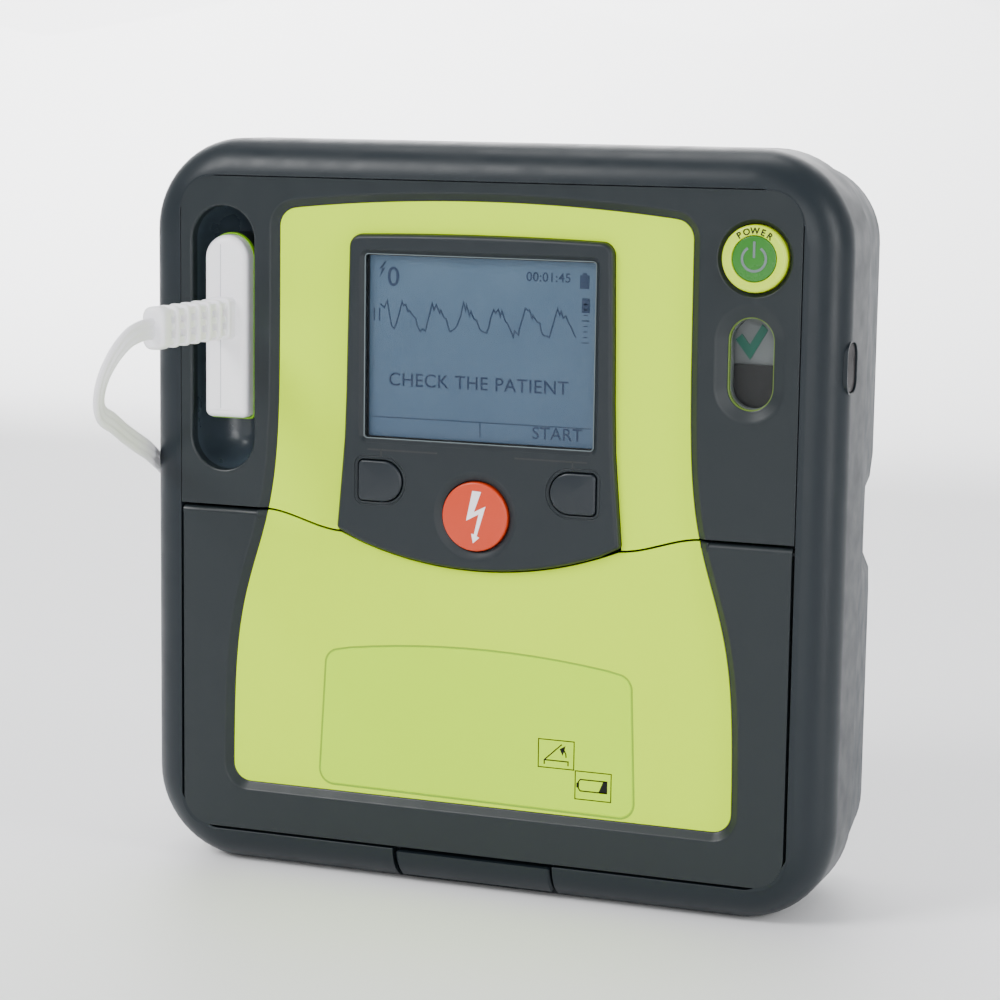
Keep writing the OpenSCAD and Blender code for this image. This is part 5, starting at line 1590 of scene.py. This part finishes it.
class DEFIB_OT_status(bpy.types.Operator):
    """Status window with its rim, lens, printed card and flag"""
    bl_idname = "defib.status"
    bl_label = "Status window"

    def execute(self, context):
        face = -LENS_LO[1]
        low, high = node_box("status_gasket")
        rim_ = plate(capsule(LENS_X, LENS_Z, LENS_W + 1.6, LENS_H + 1.6),
                     round_edge(0.25, -low[1] - 0.75, -high[1], 3),
                     [(capsule(LENS_X, LENS_Z, LENS_W + 0.1, LENS_H + 0.1),
                       [(0.1, -low[1] - 0.75), (0.0, -low[1] - 0.85), (0.0, -high[1])])])
        piece("status_rim", rim_, finish("elastomer_seal_lime"), "case", ("status_gasket",))
        lens = plate(capsule(LENS_X, LENS_Z, LENS_W, LENS_H),
                     [(0.9, face), (0.55, face - 0.08), (0.2, face - 0.35), (0.0, face - 0.8),
                      (0.0, -LENS_HI[1])])
        piece("status_lens_clear", lens, finish("polycarbonate_lens_clear"), "case",
              ("status_lens",))
        card_lo, card_hi = node_box("status_card")
        front = -card_lo[1]
        card = plate(rounded_rect(card_hi[0] - card_lo[0], card_hi[2] - card_lo[2], 1, LENS_Z, 4, cx=LENS_X),
                     round_edge(0.1, front, front - 1, 2))
        piece("status_card_print", card, finish("printed_card_grey"), "case", ("status_card",))
        tick = [(-4.9, 4.4), (-2.9, 6.2), (-0.4, 3.0), (3.4, 9.4), (5.2, 7.6), (-0.2, -1.6)]
        mark = plate([(LENS_X - 1.9 + x, LENS_Z + 2.4 + z) for x, z in tick],
                     [(0.0, front + 0.3), (0.0, front + 0.05)])
        piece("status_tick", mark, finish("card_ink_teal"), "case")
        s_lo, s_hi = node_box("status_shutter")
        flag = plate(rounded_rect(s_hi[0] - s_lo[0], s_hi[2] - s_lo[2], 0.6, (s_lo[2] + s_hi[2]) / 2, 4,
                                  cx=LENS_X),
                     round_edge(0.15, -s_lo[1], -s_hi[1], 2))
        piece("status_flag", flag, finish("polycarbonate_black"), "shutter", ("status_shutter",))
        tube = plate(capsule(LENS_X, LENS_Z, LENS_W + 1.5, LENS_H + 1.5),
                     [(0.0, -LENS_HI[1] - 0.1), (0.0, -s_lo[1] + 0.4)],
                     [(capsule(LENS_X, LENS_Z, LENS_W - 0.4, LENS_H - 0.4),
                       [(0.0, -LENS_HI[1] - 0.1), (0.0, -s_lo[1] + 0.4)])])
        piece("status_well_wall", tube, finish("printed_card_grey"), "case")
        return {"FINISHED"}


# ---------------------------------------------------------------- the cover

class DEFIB_OT_cover(bpy.types.Operator):
    """Hinged lower cover with its ribs; its pins and seal get their finish under Inside"""
    bl_idname = "defib.cover"
    bl_label = "Lower cover"

    def execute(self, context):
        wrap = plate(face_outline(False), SLOPE)
        half, foot, r = OPEN_HALF - GAP, FRAME_H + GAP, PLATE_R - GAP
        top = [(x, z) for x, z in seam_line(SEAM_FLAT, -SEAM_FLAT, -GAP / 2)]
        low_edge = settings().panel.seam - GAP / 2 - 2.0
        outline = ([(half, low_edge), (SEAM_FLAT + 0.1, low_edge)] + top
                   + [(-SEAM_FLAT - 0.1, low_edge), (-half, low_edge)]
                   + arc(r - half, foot + r, r, 180, 270, 10) + arc(half - r, foot + r, r, 270, 360, 10))
        floor = plate(outline, [(0.0, POCKET_F - 0.02), (0.0, PLATE_BACK)])
        shells = [wrap, floor]
        nose = PLATE_T / 2
        foot_x = panel_half(low_edge + 1) + 0.05
        start = foot_x + RIM - 0.5
        roll = [(0.0, 0.1), (0.0, nose), (half - start, nose), (half - start, 0.1)]
        ramp = [(0.0, PLATE_BACK), (0.0, PANEL_F - 0.3), (0.12, PANEL_F - 0.02), (0.5, PANEL_F + 0.15),
                (RIM - 0.8, FACE - 0.3), (RIM - 0.35, FACE - 0.06), (RIM, FACE), (RIM, PLATE_BACK)]
        for side in (-1, 1):
            shells.append(turned(roll, (side * start, nose - FACE, low_edge), (side, 0, 0), 48))
            shells.append(loft([[place(side * (foot_x + x), f - drop, low_edge + rise) for x, f in ramp]
                                for rise, drop in ((-0.1, 0.0), (1.2, 0.03), (1.7, 0.25), (1.97, 0.7))],
                               closed=False))
        for x in (-62, 62):
            shells.append(plate(rounded_rect(2.4, 60, 0.4, 60, 3, cx=x),
                                [(0.0, PLATE_BACK + 0.1), (0.3, PLATE_BACK - 4)]))
        for z in (42, 60, 78):
            shells.append(plate(rounded_rect(122, 1.6, 0.3, z, 3),
                                [(0.0, PLATE_BACK + 0.1), (0.3, PLATE_BACK - 1.6)]))
        piece("lower_cover_shell", merged(*shells), finish("abs_faceplate_slate"), "cover", ("lower_cover",),
              sharp=26)
        return {"FINISHED"}


# ---------------------------------------------------------------- inside

class DEFIB_OT_inside(bpy.types.Operator):
    """Finishes for the boards, battery and other pieces inside"""
    bl_idname = "defib.inside"
    bl_label = "Inside"

    def execute(self, context):
        finishes = {
            "fr4_solder_mask_green": ("keypad_board", "main_board", "hv_board", "irda_board"),
            "epoxy_package_black": ("board_components",),
            "aluminium_drawn_can": ("hv_capacitor", "microphone"),
            "copper_enamelled_wire": ("hv_transformer",),
            "polycarbonate_black": ("battery_bay", "speaker"),
            "abs_battery_charcoal": ("battery_pack",),
            "gold_plated_contact": ("battery_contacts", "port_contacts", "plug_contacts"),
            "steel_zinc_plated": ("button_domes", "board_screws", "coin_cell"),
            "steel_black_oxide": ("cover_hinge_pins", "latch_pins"),
            "polyimide_flex_amber": ("display_cable",),
            "silicone_rubber_black": ("cover_seal",),
        }
        for material, nodes in finishes.items():
            for name in nodes:
                paint(name, finish(material))
        low, high = node_box("battery_pack")
        tab = plate(rounded_rect(26, 10, 3, high[2] - 12, 6),
                    round_edge(0.4, -low[1] + 1.4, -low[1] - 0.2, 3))
        piece("battery_pull_tab", tab, finish("nylon_tape_black"), "case")
        plate_ = plate(rounded_rect(70, 34, 2, low[2] + 24, 5),
                       round_edge(0.1, -low[1] + 0.25, -low[1] - 0.1, 2))
        piece("battery_label", plate_, finish("printed_card_grey"), "case")
        return {"FINISHED"}


# ---------------------------------------------------------------- registration

class DefibrillatorSettings(bpy.types.PropertyGroup):
    case: bpy.props.PointerProperty(type=CaseSettings, name="Case",
                                    description="Sizes and colour of the case")
    panel: bpy.props.PointerProperty(type=PanelSettings, name="Panels", description="The green panels")
    button: bpy.props.PointerProperty(type=ButtonSettings, name="Buttons", description="The buttons")
    lead: bpy.props.PointerProperty(type=LeadSettings, name="Lead", description="The electrode lead")


OPERATORS = (DEFIB_OT_stage, DEFIB_OT_lead, DEFIB_OT_front_housing, DEFIB_OT_rear_housing, DEFIB_OT_faceplate,
             DEFIB_OT_green_panels, DEFIB_OT_display, DEFIB_OT_buttons, DEFIB_OT_status, DEFIB_OT_cover,
             DEFIB_OT_inside)


class DEFIB_PT_panel(bpy.types.Panel):
    """Lists the pieces in the 3D view's sidebar"""
    bl_idname = "DEFIB_PT_panel"
    bl_label = "Defibrillator"
    bl_space_type = "VIEW_3D"
    bl_region_type = "UI"
    bl_category = "Defibrillator"

    def draw(self, context):
        for operator in OPERATORS:
            self.layout.operator(operator.bl_idname)


CLASSES = (CaseSettings, PanelSettings, ButtonSettings, LeadSettings, DefibrillatorSettings) + OPERATORS + (
    DEFIB_PT_panel,)


def register():
    for item in CLASSES:
        bpy.utils.register_class(item)
    bpy.types.Scene.defibrillator = bpy.props.PointerProperty(type=DefibrillatorSettings)


def unregister():
    del bpy.types.Scene.defibrillator
    for item in reversed(CLASSES):
        bpy.utils.unregister_class(item)


def main():
    register()
    for operator in OPERATORS:
        group, name = operator.bl_idname.split(".")
        getattr(getattr(bpy.ops, group), name)()


if __name__ == "__main__":
    main()
